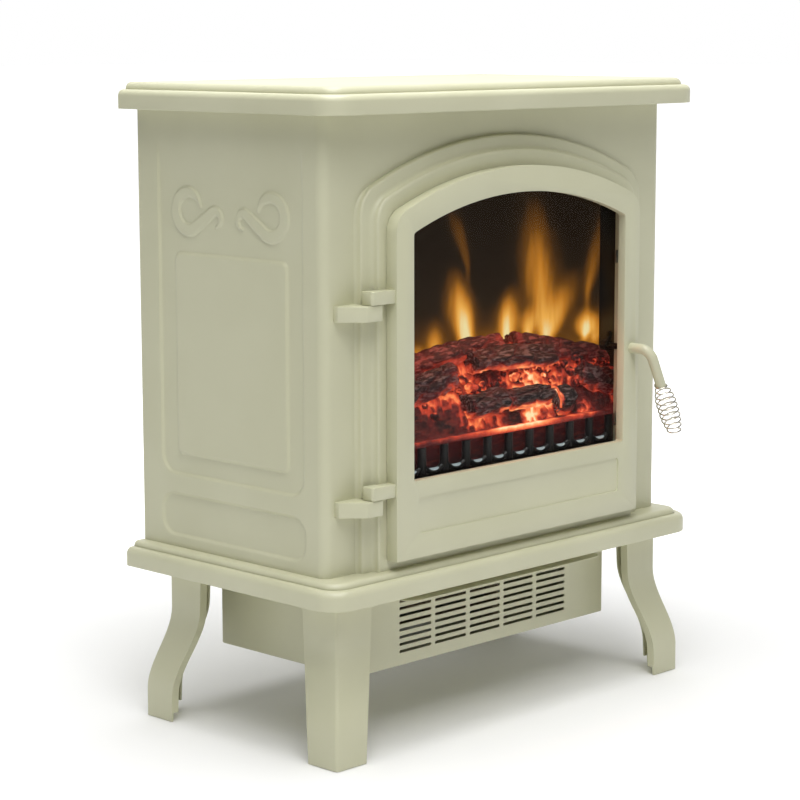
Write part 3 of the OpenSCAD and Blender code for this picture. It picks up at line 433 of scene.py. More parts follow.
@dataclass(frozen=True)
class RopeSeal(Finish):
    """Woven glass-fibre tape."""

    valley: Colour = (0.012, 0.012, 0.012)
    thread: Colour = (0.05, 0.05, 0.048)

    def make(self) -> bpy.types.Material:
        """Builds the material.

        Returns:
            The material.
        """
        g = Graph("glass_fibre_seal")
        weave = {"Vector": g.place, "Scale": 260.0}
        twill = g.node("ShaderNodeTexWave", {"bands_direction": "DIAGONAL"}, weave)
        return g.finish({
            "Base Color": g.mix(twill, self.valley, self.thread),
            "Roughness": 0.95,
            "Normal": g.bump(twill, 0.0003, 0.7),
        })


# Colour of the light against heat, from cold embers to the hottest.
EMBER_HEAT: tuple[tuple[float, Colour], ...] = (
    (0.0, (0.0, 0.0, 0.0)), (0.20, (0.05, 0.003, 0.003)), (0.45, (0.52, 0.050, 0.020)),
    (0.72, (1.0, 0.27, 0.085)), (1.0, (1.0, 0.70, 0.38)))


@dataclass(frozen=True)
class Charred(Finish):
    """Cast resin painted as charred wood, lit from inside through its cracks."""

    name: str = "charred_log"
    char: Colour = (0.010, 0.008, 0.008)
    ash: Colour = (0.150, 0.118, 0.114)
    blush: Colour = (0.120, 0.018, 0.018)
    heat: float = 1.25
    bark_height: float = 0.0013

    def make(self) -> bpy.types.Material:
        """Builds the material.

        Returns:
            The material.
        """
        g = Graph(self.name)
        # On the logs, glow also holds painted light from the embers under them; it drives the emission and
        # reddens the base colour there.
        glow = g.node("ShaderNodeAttribute", {"attribute_name": "glow"}, output="Fac")
        patch = g.noise(60.0, 4.0, distortion=0.6)
        fibre = g.noise(1.0, 4.0, g.stretched((90.0, 420.0, 420.0)))
        dry = g.mix(fibre.step(0.50, 0.62), self.char, self.ash)
        hot = glow * (0.60 + g.noise(130.0, 3.0) * 0.8)
        return g.finish({
            "Base Color": g.mix((patch.step(0.50, 0.80) * 0.45 + hot * 0.6).clamp(), dry, self.blush),
            "Roughness": 0.62 + fibre * 0.25,
            "Emission Color": g.ramp(hot.clamp(), EMBER_HEAT),
            "Emission Strength": self.heat,
            "Normal": g.bump(fibre + patch, self.bark_height, 0.9),
        })


# Colour of the picture of flames against brightness.
FLAME_HEAT: tuple[tuple[float, Colour], ...] = (
    (0.0, (0.004, 0.003, 0.002)), (0.10, (0.022, 0.012, 0.005)), (0.26, (0.16, 0.060, 0.007)),
    (0.50, (0.62, 0.235, 0.022)), (0.76, (1.0, 0.50, 0.090)), (1.0, (1.0, 0.84, 0.42)))


@dataclass(frozen=True)
class FlamePlume:
    """One tongue of flame in the screen's picture: place, size, lean and power."""

    x: float
    foot: float
    height: float
    width: float
    lean: float
    power: float


@dataclass(frozen=True)
class FlamePicture(Finish):
    """Translucent screen with the picture of the flames thrown on it from behind."""

    plumes: tuple[FlamePlume, ...]
    foot: float
    top: float

    def plume(self, g: Graph, x: Value, z: Value, sway: Value, one: FlamePlume) -> Value:
        """Brightness of one tongue.

        Args:
            g: the graph.
            x: position across.
            z: height.
            sway: noise about 0 that bends the tongue.
            one: the tongue.

        Returns:
            Its brightness from 0 up.
        """
        rise = (z - one.foot) / one.height
        held = rise.clamp()
        middle = x - one.x - held * one.lean - sway * (0.06 * one.height + held * 0.22 * one.height)
        body = (held * (1.0 - held) * 2.6 + 0.45) * one.width
        across = middle / body
        fall = (-(across * across)).math("EXPONENT")
        return fall * (1.0 - rise.step(0.30, 1.05)) * rise.step(-0.30, 0.10) * (1.25 - held * 0.6) * one.power

    def make(self) -> bpy.types.Material:
        """Builds the material.

        Returns:
            The material.
        """
        g = Graph("flame_picture")
        x, z = g.axis("X"), g.axis("Z")
        sway = g.noise(1.0, 3.0, g.stretched((24.0, 1.0, 9.0)), distortion=0.4) - 0.5
        streak = g.noise(1.0, 4.0, g.stretched((85.0, 1.0, 13.0)), distortion=0.9)
        heat = functools.reduce(lambda a, b: a + b, [self.plume(g, x, z, sway * 1.6, p) for p in self.plumes])
        height = (z - self.foot) / (self.top - self.foot)
        haze = (-(height * 5.0)).math("EXPONENT") * 0.20 + 0.035
        bright = (heat * (0.62 + streak * 0.72) + haze).clamp()
        return g.finish({
            "Base Color": (0.006, 0.005, 0.004),
            "Roughness": 0.6 + streak * 0.1,
            "Specular IOR Level": 0.1,
            "Emission Color": g.ramp(bright, FLAME_HEAT),
            "Emission Strength": 1.0,
        })


@dataclass(frozen=True)
class LampGlass(Finish):
    """Frosted lamp with a warm, uneven glow."""

    def make(self) -> bpy.types.Material:
        """Builds the material.

        Returns:
            The material.
        """
        g = Graph("frosted_lamp")
        frost = g.noise(300.0, 3.0)
        return g.finish({
            "Base Color": (0.9, 0.86, 0.78),
            "Roughness": 0.4 + frost * 0.3,
            "Emission Color": g.mix(frost, (1.0, 0.55, 0.2), (1.0, 0.75, 0.42)),
            "Emission Strength": 1.5,
        })


CREAM = PowderCoat()
ENAMEL = Enamel()
LOG_CHAR = Charred()
LOG_RED = Charred("glowing_log", (0.040, 0.013, 0.012), (0.24, 0.090, 0.078), (0.34, 0.040, 0.028), 1.25)
EMBERS = Charred("ember_bed_resin", (0.018, 0.005, 0.005), (0.12, 0.026, 0.020), (0.24, 0.028, 0.018), 1.35)
ASHEN = Charred("ashen_rings", (0.10, 0.085, 0.080), (0.34, 0.30, 0.29), (0.20, 0.10, 0.08), 1.0)
# Grate trim: pale blue-white metal that glows, a painted highlight where light catches between the bars.
PAINTED_GLINT_TRIM = Metal("painted_glint_trim_steel", (0.66, 0.80, 0.82), (0.55, 0.66, 0.68), 0.22, painted_glint=0.42)
# Near-black steel, a painted shade: it darkens parts seen through the window, where the firebox lies in
# shade.
SHADE_DARK_STEEL = Metal("shade_dark_steel", (0.030, 0.029, 0.028), (0.018, 0.017, 0.016), 0.5)
ZINC = Metal("zinc_plate", (0.62, 0.62, 0.60), (0.48, 0.49, 0.50), 0.32)
SPRING = Metal("spring_wire", (0.80, 0.77, 0.70), (0.62, 0.58, 0.50), 0.20, (400.0, 400.0, 400.0))

PLAIN_FINISHES: dict[Slot, Finish] = {
    Slot.CREAM: CREAM,
    Slot.ZINC: ZINC,
    Slot.SPRING: SPRING,
    Slot.GALVANISED: Metal("galvanised_sheet", (0.52, 0.54, 0.56), (0.36, 0.38, 0.40), 0.40,
                           (120.0, 120.0, 120.0)),
    Slot.ALUMINIUM: Metal("rolled_aluminium", (0.80, 0.81, 0.82), (0.68, 0.69, 0.71), 0.26),
    Slot.MICA: Moulded("mica_board", (0.42, 0.34, 0.24), (0.30, 0.24, 0.17), 0.7, 500.0, 0.0003),
    Slot.CERAMIC: Moulded("white_ceramic", (0.78, 0.75, 0.68), (0.70, 0.66, 0.58), 0.55, 700.0),
    Slot.GLASS: SmokedGlass(),
    Slot.SEAL: RopeSeal(),
    Slot.ENAMEL: ENAMEL,
    Slot.EMBERS: EMBERS,
    Slot.CHARRED: LOG_CHAR,
    Slot.LAMP: LampGlass(),
    Slot.BLACK_PLASTIC: Moulded("black_plastic", (0.018, 0.018, 0.019), (0.030, 0.030, 0.031), 0.45),
    Slot.RED_PLASTIC: Moulded("red_plastic", (0.50, 0.018, 0.010), (0.40, 0.012, 0.008), 0.22),
    Slot.MOTOR_PLASTIC: Moulded("motor_plastic", (0.66, 0.64, 0.56), (0.58, 0.56, 0.48), 0.5),
}


# ---------- meshes ----------


@dataclass
class Shape:
    """Vertices and faces that become one object."""

    verts: list[Vector] = field(default_factory=list)
    faces: list[tuple[int, ...]] = field(default_factory=list)

    def loft(self, rings: Sequence[Sequence[Vector]], closed: bool = True, caps: bool = True) -> None:
        """Adds a skin over rings of points.

        Args:
            rings: the rings, each with the same number of points.
            closed: joins each ring's last point to its first.
            caps: closes the two ends.
        """
        start, n = len(self.verts), len(rings[0])
        for ring in rings:
            self.verts.extend(Vector(p) for p in ring)
        around = n if closed else n - 1
        for j in range(len(rings) - 1):
            a, b = start + j * n, start + (j + 1) * n
            self.faces.extend((a + i, a + (i + 1) % n, b + (i + 1) % n, b + i) for i in range(around))
        if caps:
            self.faces.append(tuple(range(start + n - 1, start - 1, -1)))
            last = start + (len(rings) - 1) * n
            self.faces.append(tuple(range(last, last + n)))

    def block(self, low: Sequence[float], high: Sequence[float]) -> None:
        """Adds a box between two corners.

        Args:
            low: the lowest corner.
            high: the highest corner.
        """
        x0, y0, z0 = low
        x1, y1, z1 = high
        ring = [(x0, y0), (x1, y0), (x1, y1), (x0, y1)]
        self.loft([[Vector((x, y, z)) for x, y in ring] for z in (z0, z1)])

    def tube(self, path: Sequence[Vector], radius: float | Callable[[float], float], sides: int) -> None:
        """Adds a round tube along a path, with frames that don't twist.

        Args:
            path: the points of its centre line.
            radius: the radius, or a function of the share of the path.
            sides: the number of sides.
        """
        ahead = (path[1] - path[0]).normalized()
        side = ahead.orthogonal().normalized()
        rings = []
        for i, p in enumerate(path):
            near, far = path[max(i - 1, 0)], path[min(i + 1, len(path) - 1)]
            ahead = (far - near).normalized()
            side = (side - ahead * side.dot(ahead)).normalized()
            other = ahead.cross(side)
            r = radius(i / (len(path) - 1)) if callable(radius) else radius
            turns = [math.tau * k / sides for k in range(sides)]
            rings.append([p + (side * math.cos(a) + other * math.sin(a)) * r for a in turns])
        self.loft(rings)

    def build(self, name: str, smooth: float = 35.0, glow: Sequence[float] | None = None) -> bpy.types.Object:
        """Makes the object.

        Args:
            name: the object's name.
            smooth: edges that turn by more degrees than this stay sharp.
            glow: a heat from 0 to 1 for each vertex, or nothing.

        Returns:
            The object, linked to the scene.
        """
        mesh = bpy.data.meshes.new(name)
        mesh.from_pydata(self.verts, [], self.faces)
        if glow is not None:
            mesh.attributes.new("glow", "FLOAT", "POINT").data.foreach_set("value", list(glow))
        work = bmesh.new()
        work.from_mesh(mesh)
        bmesh.ops.dissolve_degenerate(work, edges=work.edges, dist=1e-7)
        bmesh.ops.recalc_face_normals(work, faces=work.faces)
        work.to_mesh(mesh)
        work.free()
        return link(name, mesh, smooth)


def link(name: str, mesh: bpy.types.Mesh, smooth: float) -> bpy.types.Object:
    """Links a mesh to the scene as an object that is shaded smooth below an angle in degrees.

    Args:
        name: the object's name.
        mesh: its mesh.
        smooth: edges that turn by more degrees than this stay sharp.

    Returns:
        The object.
    """
    mesh.polygons.foreach_set("use_smooth", [True] * len(mesh.polygons))
    mesh.set_sharp_from_angle(angle=math.radians(smooth))
    made = bpy.data.objects.new(name, mesh)
    bpy.context.scene.collection.objects.link(made)
    return made


def arc(centre: Point, r: float, a0: float, a1: float, n: int) -> list[Point]:
    """Points of an arc in a plane, from a0 to a1 degrees, both ends included."""
    turns = [math.radians(a0 + (a1 - a0) * i / n) for i in range(n + 1)]
    return [(centre[0] + r * math.cos(a), centre[1] + r * math.sin(a)) for a in turns]


def arched(half: float, foot: float, top: float, r: float, knee: float) -> list[Point]:
    """Outline with upright sides, two round knees and an arched top, from bottom left.

    Args:
        half: half the width.
        foot: the lowest height.
        top: the height of the crown.
        r: radius of the arch.
        knee: radius between a side and the arch.

    Returns:
        The points, the same number for any sizes.
    """
    zc = top - r
    zk = zc + math.sqrt((r - knee) ** 2 - (half - knee) ** 2)
    phi = math.degrees(math.atan2(zk - zc, half - knee))
    return [(-half, foot), (half, foot), *arc((half - knee, zk), knee, 0, phi, 12),
            *arc((0, zc), r, phi, 180 - phi, 48)[1:-1], *arc((knee - half, zk), knee, 180 - phi, 180, 12)]


def step(low: float, high: float, values: np.ndarray) -> np.ndarray:
    """Smooth step of an array, 0 at low and 1 at high."""
    t = np.clip((values - low) / (high - low), 0.0, 1.0)
    return t * t * (3 - 2 * t)


# ---------- sub-assemblies ----------


class Workshop:
    """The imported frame, with the ways to put a piece on it."""

    def __init__(self) -> None:
        """Loads the frame."""
        self.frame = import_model()
        self.body_of = {n: b for b, ns in self.frame["record"]["behaviour"]["bodies"].items() for n in ns}
        self.slot_of = {s["node"]: Slot(s["material_slot"]) for s in self.frame["record"]["subparts"]}
        self.replaced: set[str] = set()

    def fit(self, piece: bpy.types.Object, node: str, finish: Finish | None = None,
            stands_for: bool = True) -> bpy.types.Object:
        """Dresses a piece and lets it ride with a node's body.

        Args:
            piece: the new object.
            node: the CAD node that it belongs to.
            finish: its finish, or nothing for the slot's own.
            stands_for: hides the CAD node, because the piece replaces it.

        Returns:
            The piece.
        """
        piece.data.materials.clear()
        piece.data.materials.append(material_of(finish or PLAIN_FINISHES[self.slot_of[node]]))
        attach(piece, self.body_of[node])
        if stands_for:
            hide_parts(node)
            self.replaced.add(node)
        LOG.info("%s: %d faces on %s", piece.name, len(piece.data.polygons), self.body_of[node])
        return piece

    def points(self, node: str) -> np.ndarray:
        """A CAD node's vertices, one row each.

        Args:
            node: the CAD node.

        Returns:
            An array of x, y and z.
        """
        mesh = self.frame["nodes"][node].data
        flat = np.zeros(len(mesh.vertices) * 3)
        mesh.vertices.foreach_get("co", flat)
        return flat.reshape(-1, 3)

    def refined(self, node: str, width: float, segments: int = 2, smooth: float = 40.0,
                finish: Finish | None = None) -> bpy.types.Object:
        """A finer copy of a CAD node: flat faces joined again and the sharp edges rounded.

        Args:
            node: the CAD node.
            width: width of the rounded edges.
            segments: faces across each rounded edge.
            smooth: edges that turn by more degrees than this stay sharp.
            finish: its finish, or nothing for the slot's own.

        Returns:
            The new object, which stands for the node.
        """
        source = self.frame["nodes"][node].data
        mesh = bpy.data.meshes.new(f"{node}_fine")
        mesh.from_pydata([v.co for v in source.vertices], [], [tuple(p.vertices) for p in source.polygons])
        work = bmesh.new()
        work.from_mesh(mesh)
        bmesh.ops.remove_doubles(work, verts=work.verts, dist=2e-6)
        bmesh.ops.dissolve_limit(work, angle_limit=math.radians(0.4), verts=work.verts, edges=work.edges)
        work.to_mesh(mesh)
        work.free()
        rough = bpy.data.objects.new(mesh.name, mesh)
        bpy.context.scene.collection.objects.link(rough)
        bevel = rough.modifiers.new("edges", "BEVEL")
        bevel.width, bevel.segments, bevel.limit_method = width, segments, "ANGLE"
        bevel.angle_limit, bevel.miter_outer = math.radians(32), "MITER_ARC"
        ready = bpy.data.meshes.new_from_object(rough.evaluated_get(bpy.context.evaluated_depsgraph_get()))
        bpy.data.objects.remove(rough)
        return self.fit(link(f"{node}_fine", ready, smooth), node, finish)

    def dress_rest(self) -> None:
        """Gives every CAD node that still shows the finish of its slot."""
        for node, made in self.frame["nodes"].items():
            if node not in self.replaced:
                made.data.materials.clear()
                made.data.materials.append(material_of(PLAIN_FINISHES[self.slot_of[node]]))
                LOG.info("%s: CAD mesh with %s", node, self.slot_of[node].value)


@dataclass
class MouldedSlab:
    """Lid or base plate: plain edge, round shoulder, a thin quirk, then a round upper step."""

    shop: Workshop
    node: str
    corner: float = 25 * MM
    edge: float = 11.5 * MM
    shoulder: float = 6 * MM
    inset: float = 9 * MM
    quirk: float = 0.7 * MM
    foot_round: float = 0.8 * MM
    under_inset: float = 12 * MM
    top_inset: float = 40 * MM

    def profile(self, height: float) -> list[Point]:
        """[inset, height] along the moulded edge.

        Args:
            height: the slab's thickness.

        Returns:
            The points from under the edge to the flat top.
        """
        ledge = self.edge + self.shoulder
        upper, foot = height - ledge, self.foot_round
        return [(self.under_inset, 0.0), *arc((foot, foot), foot, 270, 180, 4),
                *arc((self.shoulder, self.edge), self.shoulder, 180, 90, 12),
                (self.inset - self.quirk, ledge), (self.inset - self.quirk / 2, ledge - self.quirk),
                (self.inset, ledge - self.quirk / 4), *arc((self.inset + upper, ledge), upper, 180, 90, 12),
                (self.top_inset, height)]

    def outline(self, inset: float) -> list[Point]:
        """Plan outline drawn in by the inset at the front and the sides.

        Args:
            inset: how far it is drawn in.

        Returns:
            The points, the same number for any inset.
        """
        low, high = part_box(self.node)
        r = max(self.corner - inset, 1 * MM)
        x, y = high.x - inset - r, low.y + inset + r
        return [*arc((-x, y), r, 180, 270, 14), *arc((x, y), r, 270, 360, 14),
                (high.x - inset, high.y), (inset - high.x, high.y)]

    def build(self) -> None:
        """Makes the slab."""
        low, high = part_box(self.node)
        shape = Shape()
        shape.loft([[Vector((x, y, low.z + h)) for x, y in self.outline(i)]
                    for i, h in self.profile(high.z - low.z)])
        self.shop.fit(shape.build(f"{self.node}_moulded", 38), self.node)


@dataclass
class SidePanel:
    """Flat sheet side with its pressed field, raised pad, lower panel and two raised scrolls."""

    shop: Workshop
    node: str
    depth: float = 2.3 * MM
    bevel: float = 1.7 * MM
    fade: Point = (548 * MM, 500 * MM)
    field_box: tuple[float, float, float, float] = (-66.5 * MM, 234.5 * MM, 122.6 * MM, 620 * MM)
    pad_box: tuple[float, float, float, float] = (-46.5 * MM, 253.8 * MM, 100.8 * MM, 437.5 * MM)
    low_box: tuple[float, float, float, float] = (-68 * MM, 176.8 * MM, 123.8 * MM, 215.4 * MM)
    field_round: float = 17 * MM
    pad_round: float = 6 * MM
    low_round: float = 16 * MM
    curl_bevel: float = 0.8 * MM
    curl_rise: float = 0.8
    middle: float = 28.2 * MM
    swell: tuple[Point, ...] = ((0, 0.8), (0.12, 4.2), (0.35, 5.6), (0.62, 5.4), (0.78, 4.4), (1, 0.9))
    sheet: float = 3 * MM
    flange: float = 14 * MM

    @staticmethod
    def rectangle(y: np.ndarray, z: np.ndarray, box: tuple[float, ...], r: float) -> np.ndarray:
        """Signed distance to a rectangle with round corners, below 0 inside.

        Args:
            y: places in depth.
            z: heights.
            box: its lowest y and z, then its highest.
            r: radius of its corners.

        Returns:
            The distances.
        """
        y0, z0, y1, z1 = box
        dy = np.abs(y - (y0 + y1) / 2) - (y1 - y0) / 2 + r
        dz = np.abs(z - (z0 + z1) / 2) - (z1 - z0) / 2 + r
        return np.hypot(np.maximum(dy, 0), np.maximum(dz, 0)) + np.minimum(np.maximum(dy, dz), 0) - r

    def scroll(self) -> list[Triple]:
        """Centre line of the back scroll from its tip, as y, z and half width.

        Returns:
            The points in order.
        """
        big = arc((82.8 * MM, 476.2 * MM), 17.2 * MM, 166, -121, 60)
        small = arc((46.7 * MM, 470.6 * MM), 7.2 * MM, 62, 262, 24)
        start, end = big[-1], small[0]
        run = [(start[0] + (end[0] - start[0]) * t / 20, start[1] + (end[1] - start[1]) * t / 20)
               for t in range(1, 20)]
        line = big + run + small
        shares, widths = zip(*self.swell)
        swell = np.interp(np.linspace(0, 1, len(line)), shares, widths)
        return [(y, z, w * MM) for (y, z), w in zip(line, swell)]

    def scrolls(self, y: np.ndarray, z: np.ndarray) -> np.ndarray:
        """Signed distance to the pair of scrolls.

        Args:
            y: places in depth.
            z: heights.

        Returns:
            The distances, below 0 inside.
        """
        nearest = np.full(y.shape, 1.0)
        for cy, cz, w in self.scroll():
            for side in (cy, 2 * self.middle - cy):
                nearest = np.minimum(nearest, np.hypot(y - side, z - cz) - w)
        return nearest

    def sink(self, y: np.ndarray, z: np.ndarray) -> np.ndarray:
        """How far the sheet lies inside its outer plane.

        Args:
            y: places in depth.
            z: heights.

        Returns:
            The depths, 0 where the sheet is flat.
        """
        b = self.bevel
        hollow = step(b, -b, self.rectangle(y, z, self.field_box, self.field_round))
        hollow = hollow * step(*self.fade, z)
        pad = step(b, -b, self.rectangle(y, z, self.pad_box, self.pad_round))
        curls = step(self.curl_bevel, -self.curl_bevel, self.scrolls(y, z)) * self.curl_rise
        lower = step(b, -b, self.rectangle(y, z, self.low_box, self.low_round))
        return self.depth * (hollow * (1 - np.maximum(pad, curls)) + lower)

    def build(self) -> None:
        """Makes the panel."""
        low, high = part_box(self.node)
        outward = -1.0 if low.x < 0 else 1.0
        plane = low.x if low.x < 0 else high.x
        pitch = 0.9 * MM
        ys = np.linspace(low.y, high.y, round((high.y - low.y) / pitch) + 1)
        zs = np.linspace(low.z, high.z, round((high.z - low.z) / pitch) + 1)
        yy, zz = np.meshgrid(ys, zs)
        xs = plane - outward * self.sink(yy, zz)
        shape = Shape()
        rows = [[Vector((xs[j, i], ys[i], zs[j])) for i in range(len(ys))] for j in range(len(zs))]
        shape.loft(rows, closed=False, caps=False)
        inside = plane - outward * self.sheet
        n, m = len(ys), len(zs)
        right = (j * n + n - 1 for j in range(1, m))
        top = ((m - 1) * n + i for i in range(n - 2, -1, -1))
        left = (j * n for j in range(m - 2, 0, -1))
        rim = [*range(n), *right, *top, *left]
        first = len(shape.verts)
        shape.verts.extend(Vector((inside, shape.verts[k].y, shape.verts[k].z)) for k in rim)
        count = len(rim)
        for k in range(count):
            shape.faces.append((rim[k], rim[(k + 1) % count], first + (k + 1) % count, first + k))
        shape.faces.append(tuple(first + k for k in range(count)))
        edges = sorted((inside, plane - outward * self.flange))
        shape.block((edges[0], high.y - 3 * self.sheet, low.z), (edges[1], high.y - 2 * self.sheet, high.z))
        self.shop.fit(shape.build(f"{self.node}_pressed", 50), self.node)


@dataclass
class ArchSurround:
    """Moulding of two rolled steps round the door."""

    shop: Workshop
    reach: tuple[Point, ...] = ((-3 * MM, -3 * MM), (10 * MM, 14.5 * MM), (24 * MM, 27.5 * MM))
    arch: float = 385 * MM
    knee: float = 22 * MM
    roll: float = 2.4 * MM
    root: float = 4.1 * MM

    def outline(self, out: float) -> list[Point]:
        """Outline that stands out past the door by out.

        Args:
            out: how far it stands out.

        Returns:
            The points, the same number for any distance.
        """
        door_low, door_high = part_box("door_frame")
        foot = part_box("arch_surround")[0].z
        up = float(np.interp(out, [p[0] for p in self.reach], [p[1] for p in self.reach]))
        base = door_low.z - out if out < 0 else foot
        return arched(door_high.x + out, base, door_high.z + up, self.arch + out, self.knee + out / 3)

    def profile(self, front: float, back: float) -> list[Point]:
        """[out, y] from the panel, over the two steps, to the opening's back.

        Args:
            front: the moulding's front.
            back: its back.

        Returns:
            The points.
        """
        wide, narrow = self.reach[2][0], self.reach[1][0]
        mid, r, k = (front + back) / 2, self.roll, self.root
        return [*arc((wide + k, back - k), k, 90, 180, 5)[1:], *arc((wide - r, mid + r), r, 0, -90, 7),
                *arc((narrow + k, mid - k), k, 90, 180, 5), *arc((narrow - r, front + r), r, 0, -90, 7),
                (-1.6 * MM, front), (-2.6 * MM, front + 0.4 * MM),
                (-3 * MM, front + 1.4 * MM), (-3 * MM, back)]

    def build(self) -> None:
        """Makes the surround."""
        low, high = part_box("arch_surround")
        shape = Shape()
        rings = [[Vector((x, y, z)) for x, z in self.outline(out)] for out, y in self.profile(low.y, high.y)]
        shape.loft(rings, caps=False)
        n = len(rings[0])
        last = (len(rings) - 1) * n
        shape.faces.extend((i, last + i, last + (i + 1) % n, (i + 1) % n) for i in range(n))
        self.shop.fit(shape.build("arch_surround_moulding", 38), "arch_surround")


@dataclass
class BowedLeg:
    """Bent sheet leg: an angle with a round corner and two return flanges, bowed out to its foot."""

    shop: Workshop
    node: str
    bow: float = 17 * MM
    low: float = 25 * MM
    high: float = 105 * MM
    foot_width: float = 36 * MM
    top_width: float = 44 * MM
    sheet: float = 2 * MM
    flange: float = 8 * MM
    lift: float = 8 * MM
    corner: float = 3.2 * MM
    levels: int = 49
    plate_gap: float = 4 * MM

    def inward(self, z: float) -> float:
        """How far the corner has moved inward at a height."""
        t = min(1.0, max(0.0, (z - self.low) / (self.high - self.low)))
        return self.bow * t * t * (3 - 2 * t)

    def sections(self, width: float) -> tuple[list[Point], list[Point], list[Point]]:
        """The angle and its two flanges, with the corner at the origin.

        Args:
            width: width of each side of the angle.

        Returns:
            The three outlines.
        """
        t, r, f = self.sheet, self.corner, self.flange
        angle = [(width, 0.0), (width, t), *arc((r, r), r - t, 270, 180, 6), (t, width), (0.0, width),
                 *arc((r, r), r, 180, 270, 8)]
        lip = [(width - t, t), (width, t), (width, f), (width - t, f)]
        return angle, lip, [(y, x) for x, y in lip]

    def build(self) -> None:
        """Makes the leg."""
        box_low, box_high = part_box(self.node)
        sx = 1.0 if box_low.x < 0 else -1.0
        sy = 1.0 if box_low.y < 0 else -1.0
        corner = Vector((box_low.x if sx > 0 else box_high.x, box_low.y if sy > 0 else box_high.y, 0.0))
        shape = Shape()
        for part, foot in enumerate((0.0, self.lift, self.lift)):
            levels = np.linspace(foot, box_high.z - (part > 0) * self.sheet, self.levels)
            rings = []
            for z in levels:
                width = self.foot_width + (self.top_width - self.foot_width) * z / box_high.z
                b = self.inward(z)
                rings.append([corner + Vector((sx * (x + b), sy * (y + b), z))
                              for x, y in self.sections(width)[part]])
            shape.loft(rings)
        a, b = self.bow + self.sheet, self.bow + self.top_width - self.plate_gap
        xs = sorted((corner.x + sx * a, corner.x + sx * b))
        ys = sorted((corner.y + sy * a, corner.y + sy * b))
        shape.block((xs[0], ys[0], box_high.z - self.sheet), (xs[1], ys[1], box_high.z))
        self.shop.fit(shape.build(f"{self.node}_bent", 40), self.node)


@dataclass
class HeaterBox:
    """Folded sheet box with rows of punched slots in its front and back."""

    shop: Workshop
    sheet: float = 1.2 * MM
    corner: float = 1.6 * MM
    columns: int = 5
    rows: int = 8
    pitch: Point = (47.1 * MM, 6.7 * MM)
    slot_size: Point = (42.4 * MM, 2.9 * MM)
    slot_spare: float = 0.05 * MM
    first_row: float = 11.7 * MM
    overrun: float = 5 * MM

    def outline(self, inset: float, r: float) -> list[Point]:
        """Plan outline of the box drawn in by the inset.

        Args:
            inset: how far it is drawn in.
            r: radius of its corners.

        Returns:
            The points.
        """
        low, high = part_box("heater_box")
        x, y0, y1 = high.x - inset - r, low.y + inset + r, high.y - inset - r
        return [*arc((-x, y0), r, 180, 270, 5), *arc((x, y0), r, 270, 360, 5),
                *arc((x, y1), r, 0, 90, 5), *arc((-x, y1), r, 90, 180, 5)]

    def slots(self) -> Shape:
        """Bars that cut the slots through both walls.

        Returns:
            The bars as one shape.
        """
        low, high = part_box("heater_box")
        wide, tall = self.slot_size
        r = tall / 2 - self.slot_spare
        ends = (low.y - self.overrun, high.y + self.overrun)
        cutters = Shape()
        for i in range(self.columns):
            x = (i - (self.columns - 1) / 2) * self.pitch[0]
            for j in range(self.rows):
                z = low.z + self.first_row + j * self.pitch[1] + tall / 2
                ring = [*arc((x + wide / 2 - r, z), r, -90, 90, 6),
                        *arc((x - wide / 2 + r, z), r, 90, 270, 6)]
                cutters.loft([[Vector((a, y, b)) for a, b in ring] for y in ends])
        return cutters

    def build(self) -> None:
        """Makes the box."""
        low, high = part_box("heater_box")
        t, r = self.sheet, self.corner
        turns = (0, 0.52, 1.05, math.pi / 2)
        plan = [(r * (1 - math.sin(a)), low.z + r * (1 - math.cos(a))) for a in turns]
        rings = [[Vector((x, y, z)) for x, y in self.outline(i, r)] for i, z in plan]
        rings.append([Vector((x, y, high.z)) for x, y in self.outline(0, r)])
        rings.append([Vector((x, y, high.z)) for x, y in self.outline(t, r - t)])
        rings.append([Vector((x, y, low.z + t)) for x, y in self.outline(t, r - t)])
        shell = Shape()
        shell.loft(rings)
        box, bars = shell.build("heater_box_folded"), self.slots().build("slot_cutters")
        cut = box.modifiers.new("slots", "BOOLEAN")
        cut.operation, cut.solver, cut.object = "DIFFERENCE", "EXACT", bars
        mesh = bpy.data.meshes.new_from_object(box.evaluated_get(bpy.context.evaluated_depsgraph_get()))
        for used in (box, bars):
            bpy.data.objects.remove(used)
        self.shop.fit(link("heater_box_slotted", mesh, 30), "heater_box")


